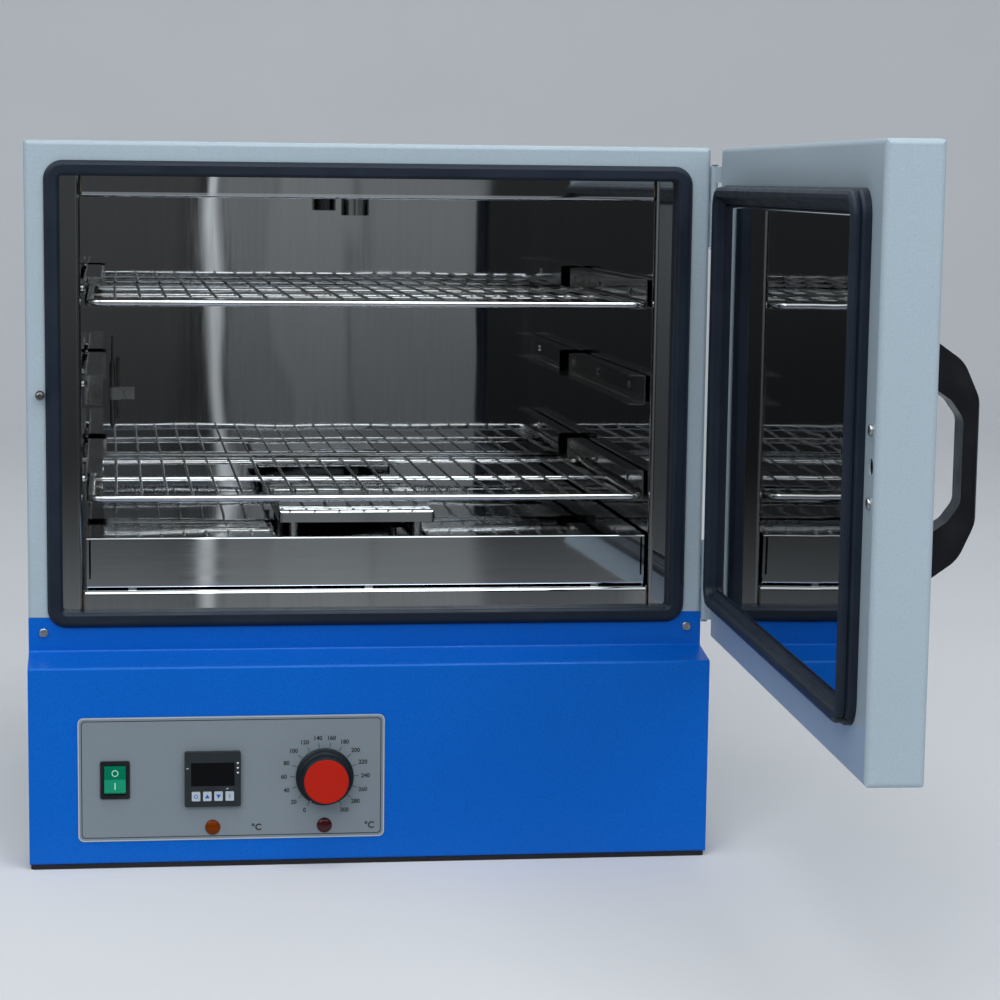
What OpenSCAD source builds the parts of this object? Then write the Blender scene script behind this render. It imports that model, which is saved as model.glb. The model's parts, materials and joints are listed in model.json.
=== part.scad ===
// Bench-top dry heat sterilizer: an insulated steel cabinet with a stainless
// chamber, two wire shelves, a blue control fascia and a side-hinged door.
// X runs to the right, Y to the back and Z up. The origin is the centre of
// the cabinet's footprint, on the bench under the base strip.

/* [Cabinet] */
// Outer width of the cabinet
body_w = 590; // [560:1:640]
// Height from the base plate to the roof
body_h = 615; // [595:1:660]
// Depth from the front frame to the rear panel
body_d = 430; // [410:1:500]
// Distance from the cabinet's side to the chamber's side
side_wall = 47; // [46.5:0.5:60]
// Distance from the roof down to the chamber's ceiling
roof_gap = 47; // [38:1:60]
// Distance from the base plate up to the chamber's floor
chamber_up = 230; // [222:1:260]
// Distance from the chamber's back wall to the rear panel
back_wall = 82; // [70:1:110]
// Thickness of the painted steel sheet
sheet = 1.2; // [0.8:0.1:2]
// Outside radius of the folded edges
fold_r = 4; // [2.5:0.5:6]
// Height of the rubber strip the cabinet stands on
strip_h = 4; // [3:0.5:12]
// Width of the rubber strip
strip_w = 14; // [8:1:17]

/* [Chamber] */
// Thickness of the stainless sheet
liner_t = 1; // [0.6:0.1:1.4]
// Radius of the bend at the mouth of the chamber
mouth_r = 4; // [2.5:0.5:6]
// Width of stainless flange that shows round the mouth
flange_w = 18; // [14:1:18]
// How far the stainless flange lies behind the front frame
flange_recess = 8; // [6:0.5:12]
// Width of the slits at the corners of the flange
corner_slit = 1.5; // [1:0.1:3]
// Outer diameter of the vent tube in the ceiling
vent_d = 25.4; // [18:0.2:32]
// Wall of the vent tube
vent_wall = 1.2; // [0.8:0.1:2]
// How far the vent tube hangs below the ceiling
vent_drop = 16; // [8:1:25]

/* [Shelves and runners] */
// Height of the lowest runner above the chamber floor
runner_first = 75; // [70:1:85]
// Height between one runner and the next
runner_pitch = 84.5; // [70:0.5:90]
// Height of a runner channel
runner_h = 26.5; // [20:0.5:32]
// How far a runner channel reaches into the chamber
runner_reach = 15; // [13:0.5:20]
// Gap between a runner and the chamber wall
runner_gap = 2; // [1:0.5:4]
// Distance from the stainless flange to the front of a runner
runner_front = 17; // [14:1:25]
// Distance from a runner's stop tab to the back wall
runner_back = 27; // [20:1:40]
// Diameter of the thick shelf rods
rod_d = 6; // [4:0.5:7]
// Diameter of the thin shelf wires
wire_d = 2.6; // [2:0.1:3.5]
// Number of spaces between the shelf wires
wire_bays = 22; // [16:1:26]
// Distance from the stainless flange to the front shelf rod
shelf_front = 7; // [6:0.5:12]

/* [False floor and baffle] */
// Height of the false floor above the chamber floor
floor_h = 45.5; // [38:0.5:50]
// Height of the air slot under the false floor's apron
air_slot = 7.5; // [4:0.5:10]
// Distance from the flange back to the apron
apron_back = 3; // [2:0.5:8]
// Gap between the false floor and the chamber's side walls
floor_gap = 3; // [1.5:0.5:6]
// Width of the air baffle
baffle_w = 138; // [110:1:160]
// Depth of the air baffle
baffle_d = 235; // [180:1:250]
// Height of the air baffle's folded rim
baffle_rim = 11; // [8:0.5:14]
// Gap between the false floor and the baffle's rim
baffle_gap = 9; // [6:0.5:11]
// Distance from the flange to the baffle's front edge
baffle_front = 32; // [25:1:45]
// How far the baffle sits left of the chamber's middle
baffle_left = 8; // [0:1:20]
// Diameter of the heating element tube
element_d = 8; // [6:0.5:9]
// Height of the heating elements above the chamber floor
element_z = 20; // [14:1:28]

/* [Cabinet seal] */
// Width of the flat seal round the mouth
seal_w = 12.5; // [10:0.5:12.5]
// Thickness of the flat seal
seal_t = 5.4; // [3:0.1:5.6]

/* [Fascia] */
// Distance from the mouth's frame down to the fascia's top edge
fascia_drop = 4; // [2:0.5:8]
// Height of the fascia's upright top strip
fascia_strip = 30; // [27:1:38]
// How far the ledge drops towards the front
ledge_drop = 7; // [3:1:15]
// How far the fascia stands in front of the frame
bulge = 41; // [35:1:55]
// Width of the label plate
panel_w = 263; // [255:1:280]
// Height of the label plate
panel_h = 108; // [104:1:120]
// Thickness of the label plate
panel_t = 1; // [0.6:0.1:1.5]
// Distance from the cabinet's left side to the label plate
panel_left = 41.5; // [30:0.5:60]
// Height of the label plate's lower edge above the base
panel_low = 20; // [15:1:30]
// Height of the control row above the base
row_z = 74; // [72:1:80]
// Height of the pilot lamps above the base
lamp_z = 31; // [29:1:32]

/* [Controls] */
// Distance from the label plate's left edge to the rocker switch
rocker_x = 31.5; // [22:0.5:40]
// Distance from the label plate's left edge to the controller
controller_x = 114.7; // [90:0.5:125]
// Distance from the label plate's left edge to the safety knob
knob_x = 211; // [185:0.5:225]
// Size of the controller's square bezel
controller_w = 48; // [46:0.5:52]
// How far the controller's bezel stands out
controller_t = 5; // [4:0.5:8]
// Width of a controller button
button_w = 7.3; // [6:0.1:8]
// Height of a controller button
button_h = 8; // [6:0.1:9]
// Distance between two buttons
button_pitch = 9.6; // [9:0.1:10]
// Travel of a button
button_travel = 0.8; // [0.5:0.1:1]
// Diameter of the knob's skirt
skirt_d = 50; // [44:0.5:56]
// Diameter of the knob's grip
grip_d = 40.5; // [34:0.5:42]
// Height of the knob
knob_h = 20.5; // [16:0.5:26]
// Diameter of the knob's spindle
spindle_d = 6; // [5:0.5:8]
// Diameter of a pilot lamp's lens
lamp_d = 13; // [11:0.5:14]
// Height of the rocker switch's bezel
bezel_h = 32.8; // [31:0.2:36]
// Width of the rocker switch's bezel
bezel_w = 25.2; // [24:0.2:28]
// Angle between the rocker's two positions
rocker_swing = 20; // [12:1:24]

/* [Door] */
// Angle at which the door stands open
door_open = 87.3; // [0:0.1:180]
// Gap between the fascia's ledge and the door's lower edge
door_lift = 7; // [5:0.5:12]
// Thickness of the door
door_t = 41; // [34:1:50]
// Gap between the closed door and the front frame
door_gap = 6; // [5.8:0.1:8]
// Distance from the door's sides to its seal
door_seal_x = 30; // [29.5:0.5:34]
// Distance from the door's top to its seal
door_seal_top = 32; // [30:0.5:40]
// Distance from the door's bottom to its seal
door_seal_low = 33.5; // [31:0.5:38]
// Width of the door's seal
door_seal_w = 16; // [14:0.5:18]
// Radius of the seal's outer corners
door_seal_r = 20; // [18:1:26]
// How far the inner panel stands out of the door
panel_proud = 4.6; // [3:0.2:6]
// Distance from the door's free edge to the handle's middle
handle_x = 60; // [40:1:80]
// Length of the handle
handle_l = 176; // [140:1:200]
// How far the handle stands out
handle_out = 42.5; // [38:0.5:55]
// Width of the handle
handle_w = 25; // [18:1:30]
// Thickness of the handle's grip
grip_t = 12; // [9:0.5:15]

/* [Hinges and catch] */
// Length of a hinge
hinge_l = 70; // [60:1:80]
// Radius of a hinge knuckle
knuckle_r = 3; // [2.6:0.1:4]
// Radius of a hinge pin
pin_r = 1.5; // [1.2:0.1:2]
// Width of a hinge leaf
leaf_w = 26; // [20:1:32]
// Thickness of a hinge leaf
leaf_t = 1.4; // [1:0.1:1.8]
// How far the hinge pin lies in front of the frame
hinge_y = 1; // [0.5:0.1:2]
// Distance from the door's top and bottom to a hinge
hinge_end = 16; // [10:1:60]
// Distance from the door's free edge to the catch
catch_x = 12; // [10:0.5:12]
// Distance between the two catch screws
catch_pitch = 49; // [40:1:60]
// Diameter of the catch hole in the door
catch_d = 12; // [10:0.5:14]

/* [Hidden] */
$fn = 48;

// Clearance between pieces that are fitted together
fit = 0.3;
// Radial running clearance of pins in their bores
run = 0.05;
// Extra length that carries a cut through a face
past = 1;

front_y = -body_d / 2;
back_y = body_d / 2;
base_z = strip_h;
roof_z = base_z + body_h;
mouth_y = front_y + flange_recess;
wall_y = back_y - back_wall;
ceiling_z = roof_z - roof_gap;
floor_z = base_z + chamber_up;
chamber_w = body_w - 2 * side_wall;
chamber_h = ceiling_z - floor_z;
chamber_d = wall_y - mouth_y;
half_w = chamber_w / 2;
frame_w = chamber_w + 2 * flange_w;
frame_low = floor_z - flange_w;
frame_top = ceiling_z + flange_w;
flange_lap = 4;
fascia_y = front_y - bulge;
panel_y = fascia_y - panel_t;
panel_x = -body_w / 2 + panel_left;
fascia_top = frame_low - fascia_drop;
ledge_z = fascia_top - fascia_strip;
row_h = base_z + row_z;
lamp_h = base_z + lamp_z;
rear_lip = 15;

// Two-dimensional helpers: a rounded rectangle, and a folded sheet of even
// thickness that follows a list of corner points with rounded bends
module rounded_rect(w, h, r) {
    square([w - 2 * r, h], center = true);
    square([w, h - 2 * r], center = true);
    for (x = [-1, 1], y = [-1, 1])
        translate([x * (w / 2 - r), y * (h / 2 - r)]) circle(r);
}

function unit(v) = v / norm(v);
function left_of(a, b) = let (u = unit(b - a)) [-u[1], u[0]];
function turn(a) = a > 180 ? a - 360 : a < -180 ? a + 360 : a;
function bend_points(a, b, c, r, n) =
    let (u = unit(a - b), v = unit(c - b), half = acos(u * v) / 2)
    let (m = b + unit(u + v) * r / sin(half))
    let (p = b + u * r / tan(half) - m, q = b + v * r / tan(half) - m)
    let (a0 = atan2(p[1], p[0]), sweep = turn(atan2(q[1], q[0]) - a0))
    [for (k = [0 : n]) m + r * [cos(a0 + sweep * k / n), sin(a0 + sweep * k / n)]];
function rounded_path(p, r, n = 6) = concat([p[0]],
    [for (i = [1 : len(p) - 2]) each bend_points(p[i - 1], p[i], p[i + 1], r, n)],
    [p[len(p) - 1]]);
function shifted(p, i, t) =
    let (last = len(p) - 1)
    let (n0 = i > 0 ? left_of(p[i - 1], p[i]) : left_of(p[0], p[1]))
    let (n1 = i < last ? left_of(p[i], p[i + 1]) : n0)
    let (m = n0 + n1)
    p[i] + m * 2 * t / (m * m);
function folded(p, t) = concat(p, [for (i = [len(p) - 1 : -1 : 0]) shifted(p, i, t)]);

// A profile in Y and Z, given in those axes, drawn out along X
module along_x(w) {
    rotate([90, 0, 90]) linear_extrude(w, center = true) children();
}

// A profile in X and Z, drawn out along Y from the front
module along_y(d) {
    translate([0, d, 0]) rotate([90, 0, 0]) linear_extrude(d) children();
}

// A box with all its edges rounded, centred in X, standing on Z from Y = 0
module soft_box(w, d, h, r) {
    intersection() {
        translate([0, d / 2, 0]) linear_extrude(h) rounded_rect(w, d, r);
        translate([0, 0, h / 2]) along_y(d) rounded_rect(w, h, r);
        translate([0, d / 2, h / 2]) along_x(w) rounded_rect(d, h, r);
    }
}

// A box centred in X
module slab(w, y0, y1, z0, z1) {
    translate([-w / 2, y0, z0]) cube([w, y1 - y0, z1 - z0]);
}

// Pan-head screw along +Y: its head stands in front of Y = 0
screw_head_r = 4;
screw_head_h = 2.2;
screw_r = 1.9;
module pan_screw(grip) {
    rotate([-90, 0, 0]) {
        difference() {
            translate([0, 0, -screw_head_h]) rotate_extrude()
                polygon(concat([[0, screw_head_h], [screw_head_r, screw_head_h]],
                    [for (a = [0 : 15 : 90])
                        [screw_head_r - 1 + cos(a), 1.2 - 1.2 * sin(a)]], [[0, 0]]));
            for (a = [0, 90])
                rotate([0, 0, a]) translate([0, 0, -screw_head_h])
                    cube([4, 0.8, 1.6], center = true);
        }
        cylinder(h = grip, r = screw_r);
    }
}

// Cabinet shell

rail_h = 12;
rail_low = ledge_z - rail_h;
pan_d = fold_r + 2;
fascia_screw_in = 13;
fascia_screw_z = (ledge_z + fascia_top) / 2 + 2;

// Folded shell, open underneath and at the back
module casing_shell() {
    shell_d = body_d - sheet;
    extra = 2 * fold_r;
    difference() {
        intersection() {
            translate([0, front_y, base_z - extra])
                soft_box(body_w, shell_d + extra, body_h + extra, fold_r);
            slab(body_w, front_y, front_y + shell_d, base_z, roof_z);
        }
        translate([0, front_y + sheet, base_z - extra])
            soft_box(body_w - 2 * sheet, shell_d + extra, body_h + extra - sheet,
                fold_r - sheet);
    }
}

// Wrap: the roof and both sides, with lips that the rear panel is screwed to
module outer_casing() {
    color("lightsteelblue") difference() {
        union() {
            casing_shell();
            difference() {
                slab(body_w - sheet, back_y - 2 * sheet, back_y - sheet,
                    base_z, roof_z - sheet / 2);
                slab(body_w - 2 * rear_lip, back_y - rear_lip, back_y,
                    base_z - past, roof_z - rear_lip);
            }
        }
        slab(body_w + 2, front_y - past, front_y + pan_d, rail_low, roof_z + past);
        slab(body_w + 2, front_y - past, front_y + sheet + fit, base_z - past, roof_z);
        slab(body_w - 2 * sheet, front_y - past, front_y + 3 * sheet, base_z - past, rail_low);
        translate([0, vent_y, ceiling_z])
            cylinder(h = roof_gap + past, r = vent_d / 2 + fit);
        for (p = rear_screw_places)
            translate([p[0], back_y - 3 * sheet, p[1]])
                rotate([-90, 0, 0]) cylinder(h = 4 * sheet, r = screw_r + fit / 2);
        for (z = hinge_zs, s = leaf_screw_zs)
            translate([body_w / 2 + past, front_y + leaf_w - leaf_screw_in, z + s])
                rotate([0, -90, 0]) cylinder(h = 4 * sheet, r = leaf_screw_r + fit / 2);
    }
}

// Front frame: the face round the mouth, welded into the wrap, with returns
// that hold the stainless flange and a rail behind the fascia's top strip
module front_frame() {
    color("lightsteelblue") difference() {
        union() {
            intersection() {
                casing_shell();
                slab(body_w, front_y, front_y + pan_d, rail_low, roof_z);
            }
            slab(frame_w + 2 * sheet, front_y + sheet / 2, mouth_y,
                frame_low - sheet, frame_top + sheet);
            slab(body_w - 2 * sheet, front_y + sheet, front_y + 2 * sheet,
                rail_low, frame_low);
        }
        slab(frame_w, front_y - past, mouth_y + past, frame_low, frame_top);
        slab(body_w + 2, front_y - past, front_y + sheet, rail_low - past, fascia_top + fit);
        for (x = [-1, 1])
            translate([x * (body_w / 2 - fascia_screw_in), front_y, fascia_screw_z])
                rotate([-90, 0, 0]) cylinder(h = 4 * sheet, r = screw_r + fit / 2);
        translate([stud_x, front_y - past, stud_z])
            rotate([-90, 0, 0]) cylinder(h = 3 * sheet, r = stud_r + fit / 2);
    }
}

rear_screw_in = 8;
rear_screw_places = [for (x = [-1, 1], z = [0.06, 0.36, 0.67, 0.975])
    [x * (body_w / 2 - rear_screw_in), base_z + z * body_h]];
louvre_w = 34;
louvre_h = 5;
gland_in = 70;
gland_up = 50;
gland_x = -body_w / 2 + gland_in;
gland_z = base_z + gland_up;
gland_r = 10;
module rear_panel() {
    inset = 1;
    color("lightsteelblue") difference() {
        translate([0, back_y - sheet, roof_z - inset - (body_h - 2 * inset) / 2])
            along_y(sheet) rounded_rect(body_w - 2 * inset, body_h - 2 * inset, fold_r);
        for (x = [0 : 3], z = [0 : 5])
            slab_at(x * (louvre_w + 14) + 20, base_z + 40 + z * 14, louvre_w, louvre_h);
        translate([gland_x, back_y - 2 * sheet, gland_z])
            rotate([-90, 0, 0]) cylinder(h = 4 * sheet, r = gland_r + fit);
        for (p = rear_screw_places)
            translate([p[0], back_y - 2 * sheet, p[1]])
                rotate([-90, 0, 0]) cylinder(h = 4 * sheet, r = screw_r + fit / 2);
    }
}

// A louvre slot cut with round ends
module slab_at(x, z, w, h) {
    translate([x, back_y - 2 * sheet, z]) along_y(4 * sheet) {
        square([w, h], center = true);
        for (s = [-1, 1]) translate([s * w / 2, 0]) circle(h / 2);
    }
}

tray_h = 14;
return_w = 18;
module base_plate() {
    y0 = fascia_y + return_w + fit;
    y1 = back_y - 2 * sheet - fit;
    w = body_w - 2 * sheet - 2 * fit;
    color("slategray") difference() {
        slab(w, y0, y1, base_z, base_z + tray_h);
        slab(w - 2 * sheet, y0 + sheet, y1 - sheet, base_z + sheet, base_z + 2 * tray_h);
        slab(w + 2, y0 - past, front_y, base_z + sheet, base_z + 2 * tray_h);
    }
}

module control_fascia() {
    path = rounded_path([[front_y, fascia_top], [front_y, ledge_z],
        [fascia_y, ledge_z - ledge_drop], [fascia_y, base_z],
        [fascia_y + return_w, base_z]], 2.5);
    cheek = [[front_y + sheet, ledge_z - 2], [fascia_y + 2, ledge_z - ledge_drop - 2],
        [fascia_y + sheet / 2, ledge_z - ledge_drop - 4],
        [fascia_y + sheet / 2, base_z + 2], [fascia_y + 2, base_z + sheet / 2],
        [front_y + sheet, base_z + sheet / 2]];
    color("royalblue") difference() {
        union() {
            along_x(body_w) polygon(folded(path, sheet));
            for (s = [-1, 1])
                translate([s * (body_w - sheet) / 2, 0, 0]) along_x(sheet) polygon(cheek);
        }
        for (s = [-1, 1])
            translate([s * (body_w / 2 - fascia_screw_in), front_y - past, fascia_screw_z])
                rotate([-90, 0, 0]) cylinder(h = 2 * sheet + past, r = screw_r + fit / 2);
        panel_cuts();
    }
}

// Holes for the controls, through the fascia and the label plate
cut_w = controller_w - 3;
module panel_cuts() {
    y0 = panel_y - past;
    depth = panel_t + sheet + 2 * past;
    translate([panel_x + rocker_x, y0, row_h]) along_y(depth)
        square([bezel_w - 3.2 + fit, bezel_h - 3.2 + fit], center = true);
    translate([panel_x + controller_x, y0, row_h]) along_y(depth)
        square([cut_w + fit, cut_w + fit], center = true);
    translate([panel_x + knob_x, y0, row_h])
        rotate([-90, 0, 0]) cylinder(h = depth, r = bush_r + fit);
    for (x = [controller_x, knob_x])
        translate([panel_x + x, y0, lamp_h])
            rotate([-90, 0, 0]) cylinder(h = depth, r = lamp_body_r + fit / 2);
}

module label_plate() {
    color("gray") difference() {
        translate([panel_x + panel_w / 2, panel_y, base_z + panel_low + panel_h / 2])
            along_y(panel_t) rounded_rect(panel_w, panel_h, 5);
        panel_cuts();
    }
}

// Strip of hard rubber round the underside, which the cabinet rests on
module base_strip() {
    inset = 1;
    w = body_w - 2 * inset;
    d = back_y - fascia_y - 2 * inset;
    color("black") translate([0, (fascia_y + back_y) / 2, 0])
        linear_extrude(strip_h) difference() {
            rounded_rect(w, d, fold_r);
            square([w - 2 * strip_w, d - 2 * strip_w], center = true);
        }
}

module case_screws() {
    color("silver") {
        for (s = [-1, 1])
            translate([s * (body_w / 2 - fascia_screw_in), front_y, fascia_screw_z])
                pan_screw(8);
        for (p = rear_screw_places)
            translate([p[0], back_y, p[1]]) rotate([0, 0, 180]) pan_screw(4);
    }
}

module cable_gland() {
    color("dimgray") translate([gland_x, back_y, gland_z]) rotate([-90, 0, 0])
        difference() {
            union() {
                translate([0, 0, -12]) cylinder(h = 12, r = gland_r);
                cylinder(h = 6, r = 13, $fn = 6);
                translate([0, 0, 6]) cylinder(h = 7, r = 11);
                translate([0, 0, 13]) cylinder(h = 6, r1 = 11, r2 = 7);
                translate([0, 0, -sheet - 5]) cylinder(h = 5, r = 13, $fn = 6);
            }
            translate([0, 0, -13]) cylinder(h = 33, r = gland_bore);
        }
}
gland_bore = 4.5;

// Chamber

// Quarter of a round bend, drawn along Z, in the quadrant +X -Y
module mouth_bend(h) {
    intersection() {
        difference() {
            cylinder(h = h, r = mouth_r);
            translate([0, 0, -past]) cylinder(h = h + 2 * past, r = mouth_r - liner_t);
        }
        translate([0, -mouth_r, 0]) cube([mouth_r, mouth_r, h]);
    }
}

flange_out = flange_w + flange_lap;
vent_y = mouth_y + chamber_d * 0.46;
module chamber_liner() {
    bend_y = mouth_y + mouth_r;
    span = chamber_w - 2 * corner_slit;
    high = chamber_h + 2 * flange_out;
    reach = flange_out - mouth_r;
    color("silver") difference() {
        union() {
            difference() {
                slab(chamber_w + 2 * liner_t, bend_y, wall_y + liner_t,
                    floor_z - liner_t, ceiling_z + liner_t);
                slab(chamber_w, bend_y - past, wall_y, floor_z, ceiling_z);
            }
            for (s = [0, 1]) mirror([s, 0, 0]) {
                translate([-half_w - mouth_r, bend_y, floor_z - flange_out])
                    mouth_bend(high);
                translate([-half_w - flange_out, mouth_y, floor_z - flange_out])
                    cube([reach, liner_t, high]);
            }
            for (s = [0, 1])
                translate([0, 0, floor_z + chamber_h / 2]) mirror([0, 0, s]) {
                    translate([span / 2, bend_y, -chamber_h / 2 - mouth_r])
                        rotate([0, -90, 0]) mouth_bend(span);
                    translate([-span / 2, mouth_y, -chamber_h / 2 - flange_out])
                        cube([span, liner_t, reach]);
                }
        }
        translate([0, vent_y, ceiling_z - past])
            cylinder(h = liner_t + 2 * past, r = vent_d / 2 + fit / 2);
        for (p = stud_places)
            translate([-half_w - 2 * liner_t, p[0], p[1]])
                rotate([0, 90, 0]) cylinder(h = chamber_w + 4 * liner_t, r = rivet_r + fit / 2);
        translate([probe_x, wall_y - past, probe_exit])
            rotate([-90, 0, 0]) cylinder(h = 3 * liner_t, r = capillary_r + fit);
        translate([probe_x + sensor_dx, wall_y - past, sensor_exit])
            rotate([-90, 0, 0]) cylinder(h = 3 * liner_t, r = sensor_r + fit);
        translate([clip_screw_x, wall_y - past, clip_z])
            rotate([-90, 0, 0]) cylinder(h = 3 * liner_t, r = screw_r + fit / 2);
        for (x = element_xs)
            translate([x, wall_y - past, floor_z + element_z])
                rotate([-90, 0, 0]) cylinder(h = 3 * liner_t, r = element_d / 2 + fit / 2);
    }
}

// Insulation: five blankets that lie against the whole liner and its flange
jacket = 2;
under = 35;
pocket_w = 30;
pocket_h = 90;
module chamber_insulation() {
    gap = liner_t + fit;
    bend = mouth_r + fit;
    color("khaki") difference() {
        slab(body_w - 2 * sheet - jacket, mouth_y + gap, back_y - 2 * sheet - jacket,
            floor_z - under, roof_z - sheet - jacket);
        slab(chamber_w + 2 * gap, front_y, wall_y + gap, floor_z - gap, ceiling_z + gap);
        slab(chamber_w + 2 * bend, front_y, mouth_y + bend, floor_z - bend, ceiling_z + bend);
        for (s = [-1, 1])
            translate([s * (half_w + mouth_r / 2) - bend / 2, front_y, floor_z - flange_out - fit])
                cube([bend, mouth_y + bend - front_y, chamber_h + 2 * flange_out + 2 * fit]);
        // Joints between the roof, floor, side and back blankets
        for (z = [floor_z - gap, ceiling_z + gap - fit])
            slab(body_w, front_y, back_y, z, z + fit);
        for (s = [-1, 1])
            translate([s * (half_w + gap - fit / 2) - fit / 2, wall_y, floor_z - gap])
                cube([fit, back_wall, chamber_h + 2 * gap]);
        translate([0, vent_y, ceiling_z]) cylinder(h = roof_gap, r = vent_d / 2 + fit);
        translate([0, vent_y, ceiling_z]) cylinder(h = collar_top + fit, r = collar_r + fit);
        for (x = element_xs)
            translate([x, wall_y, floor_z + element_z])
                rotate([-90, 0, 0]) cylinder(h = element_tail + 4, r = element_d / 2 + fit);
        translate([probe_x - 5, wall_y, clip_z - 12])
            cube([pocket_w, lead_tail + 4, pocket_h]);
        for (p = stud_places, s = [-1, 1])
            translate([s * half_w, p[0], p[1]])
                rotate([0, s * 90, 0]) cylinder(h = rivet_tail + 1, r = rivet_r * 2 + fit);
        for (z = hinge_zs)
            translate([body_w / 2 - 10, front_y, z - hinge_l / 2]) cube([10, 40, hinge_l]);
    }
}

// Flat seal with rounded outer edge, laid round the mouth on the front frame
seal_inner_r = 4;
module cabinet_seal() {
    section = [[0, 0], [seal_w, 0], [seal_w, seal_t * 0.45], [seal_w - 2, seal_t * 0.85],
        [seal_w - 4, seal_t], [2, seal_t], [0.5, seal_t * 0.8], [0, seal_t * 0.5]];
    color("midnightblue")
        translate([0, front_y, (frame_low + frame_top) / 2]) rotate([90, 0, 0])
            ring(frame_w, frame_top - frame_low, seal_inner_r, section);
}

// A profile carried round a rounded rectangle of inner size w by h: the
// profile's first axis points outwards and its second along +Z
module ring(w, h, r, section) {
    straight_w = w - 2 * r;
    straight_h = h - 2 * r;
    for (q = [[0, straight_w, h], [90, straight_h, w], [180, straight_w, h],
            [270, straight_h, w]])
        rotate([0, 0, q[0]]) {
            translate([-q[1] / 2, q[2] / 2, 0]) rotate([90, 0, 90])
                linear_extrude(q[1]) polygon(section);
            translate([q[1] / 2, q[2] / 2 - r, 0])
                rotate_extrude(angle = 90) translate([r, 0]) polygon(section);
        }
}

// False floor: a folded tray over the heating elements, with a front apron
pip_w = 7;
module false_floor() {
    w = chamber_w - 2 * floor_gap;
    y0 = mouth_y + apron_back;
    y1 = wall_y - floor_gap;
    top = floor_z + floor_h;
    slit = 1.6;
    path = rounded_path([[y0 + 3, floor_z + air_slot], [y0, floor_z + air_slot],
        [y0, top], [y1, top]], 1.6);
    color("gainsboro") difference() {
        union() {
            along_x(w) polygon(folded(path, -liner_t));
            for (s = [-1, 1])
                translate([s * (w - liner_t) / 2, y0 + 2 * liner_t + slit, 0])
                    translate([-liner_t / 2, 0, floor_z + fit])
                        cube([liner_t, y1 - y0 - 2 * liner_t - slit, floor_h - fit - liner_t / 2]);
            for (x = [-0.42, 0, 0.41])
                translate([x * w - pip_w / 2, y0 + liner_t / 2, floor_z + fit])
                    cube([pip_w, liner_t, air_slot]);
        }
        for (s = [-1, 1])
            translate([s * (w / 2 - 2 * liner_t - slit / 2) - slit / 2, y0 - past,
                floor_z]) cube([slit, 6 * liner_t, floor_h - 2]);
        translate([-baffle_left, mouth_y + baffle_front + baffle_d / 2, top - 3 * liner_t])
            linear_extrude(6 * liner_t) rounded_rect(baffle_w - 44, baffle_d - 60, 8);
        for (p = spacer_places)
            translate([p[0], p[1], top - 3 * liner_t])
                cylinder(h = 6 * liner_t, r = spacer_pin + fit / 2);
    }
}

// Air baffle: an inverted tray that stands over the opening in the floor
spacer_r = 4;
spacer_pin = 1.6;
spacer_in = 14;
spacer_places = [for (x = [-1, 1], y = [0, 1])
    [-baffle_left + x * (baffle_w / 2 - spacer_in),
        mouth_y + baffle_front + spacer_in + y * (baffle_d - 2 * spacer_in)]];
module air_baffle() {
    low = floor_z + floor_h + baffle_gap;
    r = 3;
    color("gainsboro") translate([-baffle_left, mouth_y + baffle_front, low]) difference() {
        intersection() {
            translate([0, 0, -2 * r]) soft_box(baffle_w, baffle_d, baffle_rim + 2 * r, r);
            slab(baffle_w, 0, baffle_d, 0, baffle_rim);
        }
        intersection() {
            translate([0, liner_t, -2 * r])
                soft_box(baffle_w - 2 * liner_t, baffle_d - 2 * liner_t,
                    baffle_rim + 2 * r - liner_t, r - liner_t);
            slab(baffle_w, 0, baffle_d, -past, baffle_rim);
        }
    }
}

module baffle_spacers() {
    top = floor_z + floor_h;
    tall = baffle_gap + baffle_rim - liner_t;
    color("silver") for (p = spacer_places)
        translate([p[0], p[1], top]) {
            cylinder(h = tall, r = spacer_r);
            translate([0, 0, -3]) cylinder(h = 4, r = spacer_pin);
        }
}

// Heating elements: two hairpins under the false floor
element_bend = 45;
element_tail = 20;
element_mid = 118;
element_xs = [for (s = [-1, 1], t = [-1, 1]) s * element_mid + t * element_bend];
module heating_elements() {
    y0 = mouth_y + 45 + element_bend;
    y1 = wall_y + element_tail;
    color("dimgray") for (s = [-1, 1])
        translate([s * element_mid, 0, floor_z + element_z]) {
            for (t = [-1, 1])
                translate([t * element_bend, y0, 0])
                    rotate([-90, 0, 0]) cylinder(h = y1 - y0, r = element_d / 2);
            translate([0, y0, 0]) rotate([0, 0, 180]) rotate_extrude(angle = 180)
                translate([element_bend, 0]) circle(element_d / 2);
        }
}

// Runner for the left wall, at the height of its underside
runner_x = -half_w + runner_gap;
runner_y0 = mouth_y + runner_front;
runner_y1 = wall_y - runner_back;
rivet_r = 2;
rivet_tail = 3;
rivet_head = 1.2;
stud_in = 70;
stud_ys = [runner_y0 + stud_in, runner_y1 - stud_in];
stud_places = [for (level = [0 : 2], y = stud_ys) [y, runner_z(level) + runner_h / 2]];
function runner_z(level) = floor_z + runner_first + level * runner_pitch;
module runner(side, level) {
    path = rounded_path([[runner_x + runner_reach, 0], [runner_x, 0],
        [runner_x, runner_h], [runner_x + runner_reach, runner_h]], 2);
    color("silver") mirror([side, 0, 0]) translate([0, 0, runner_z(level)]) difference() {
        union() {
            translate([0, runner_y0, 0]) along_y(runner_y1 - runner_y0)
                polygon(folded(path, -liner_t));
            translate([runner_x, runner_y1 - liner_t, 0.5])
                cube([runner_reach + 3, liner_t, runner_h - 1]);
        }
        for (y = stud_ys)
            translate([runner_x - past, y, runner_h / 2])
                rotate([0, 90, 0]) cylinder(h = 4, r = rivet_r + fit / 2);
    }
}

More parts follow.
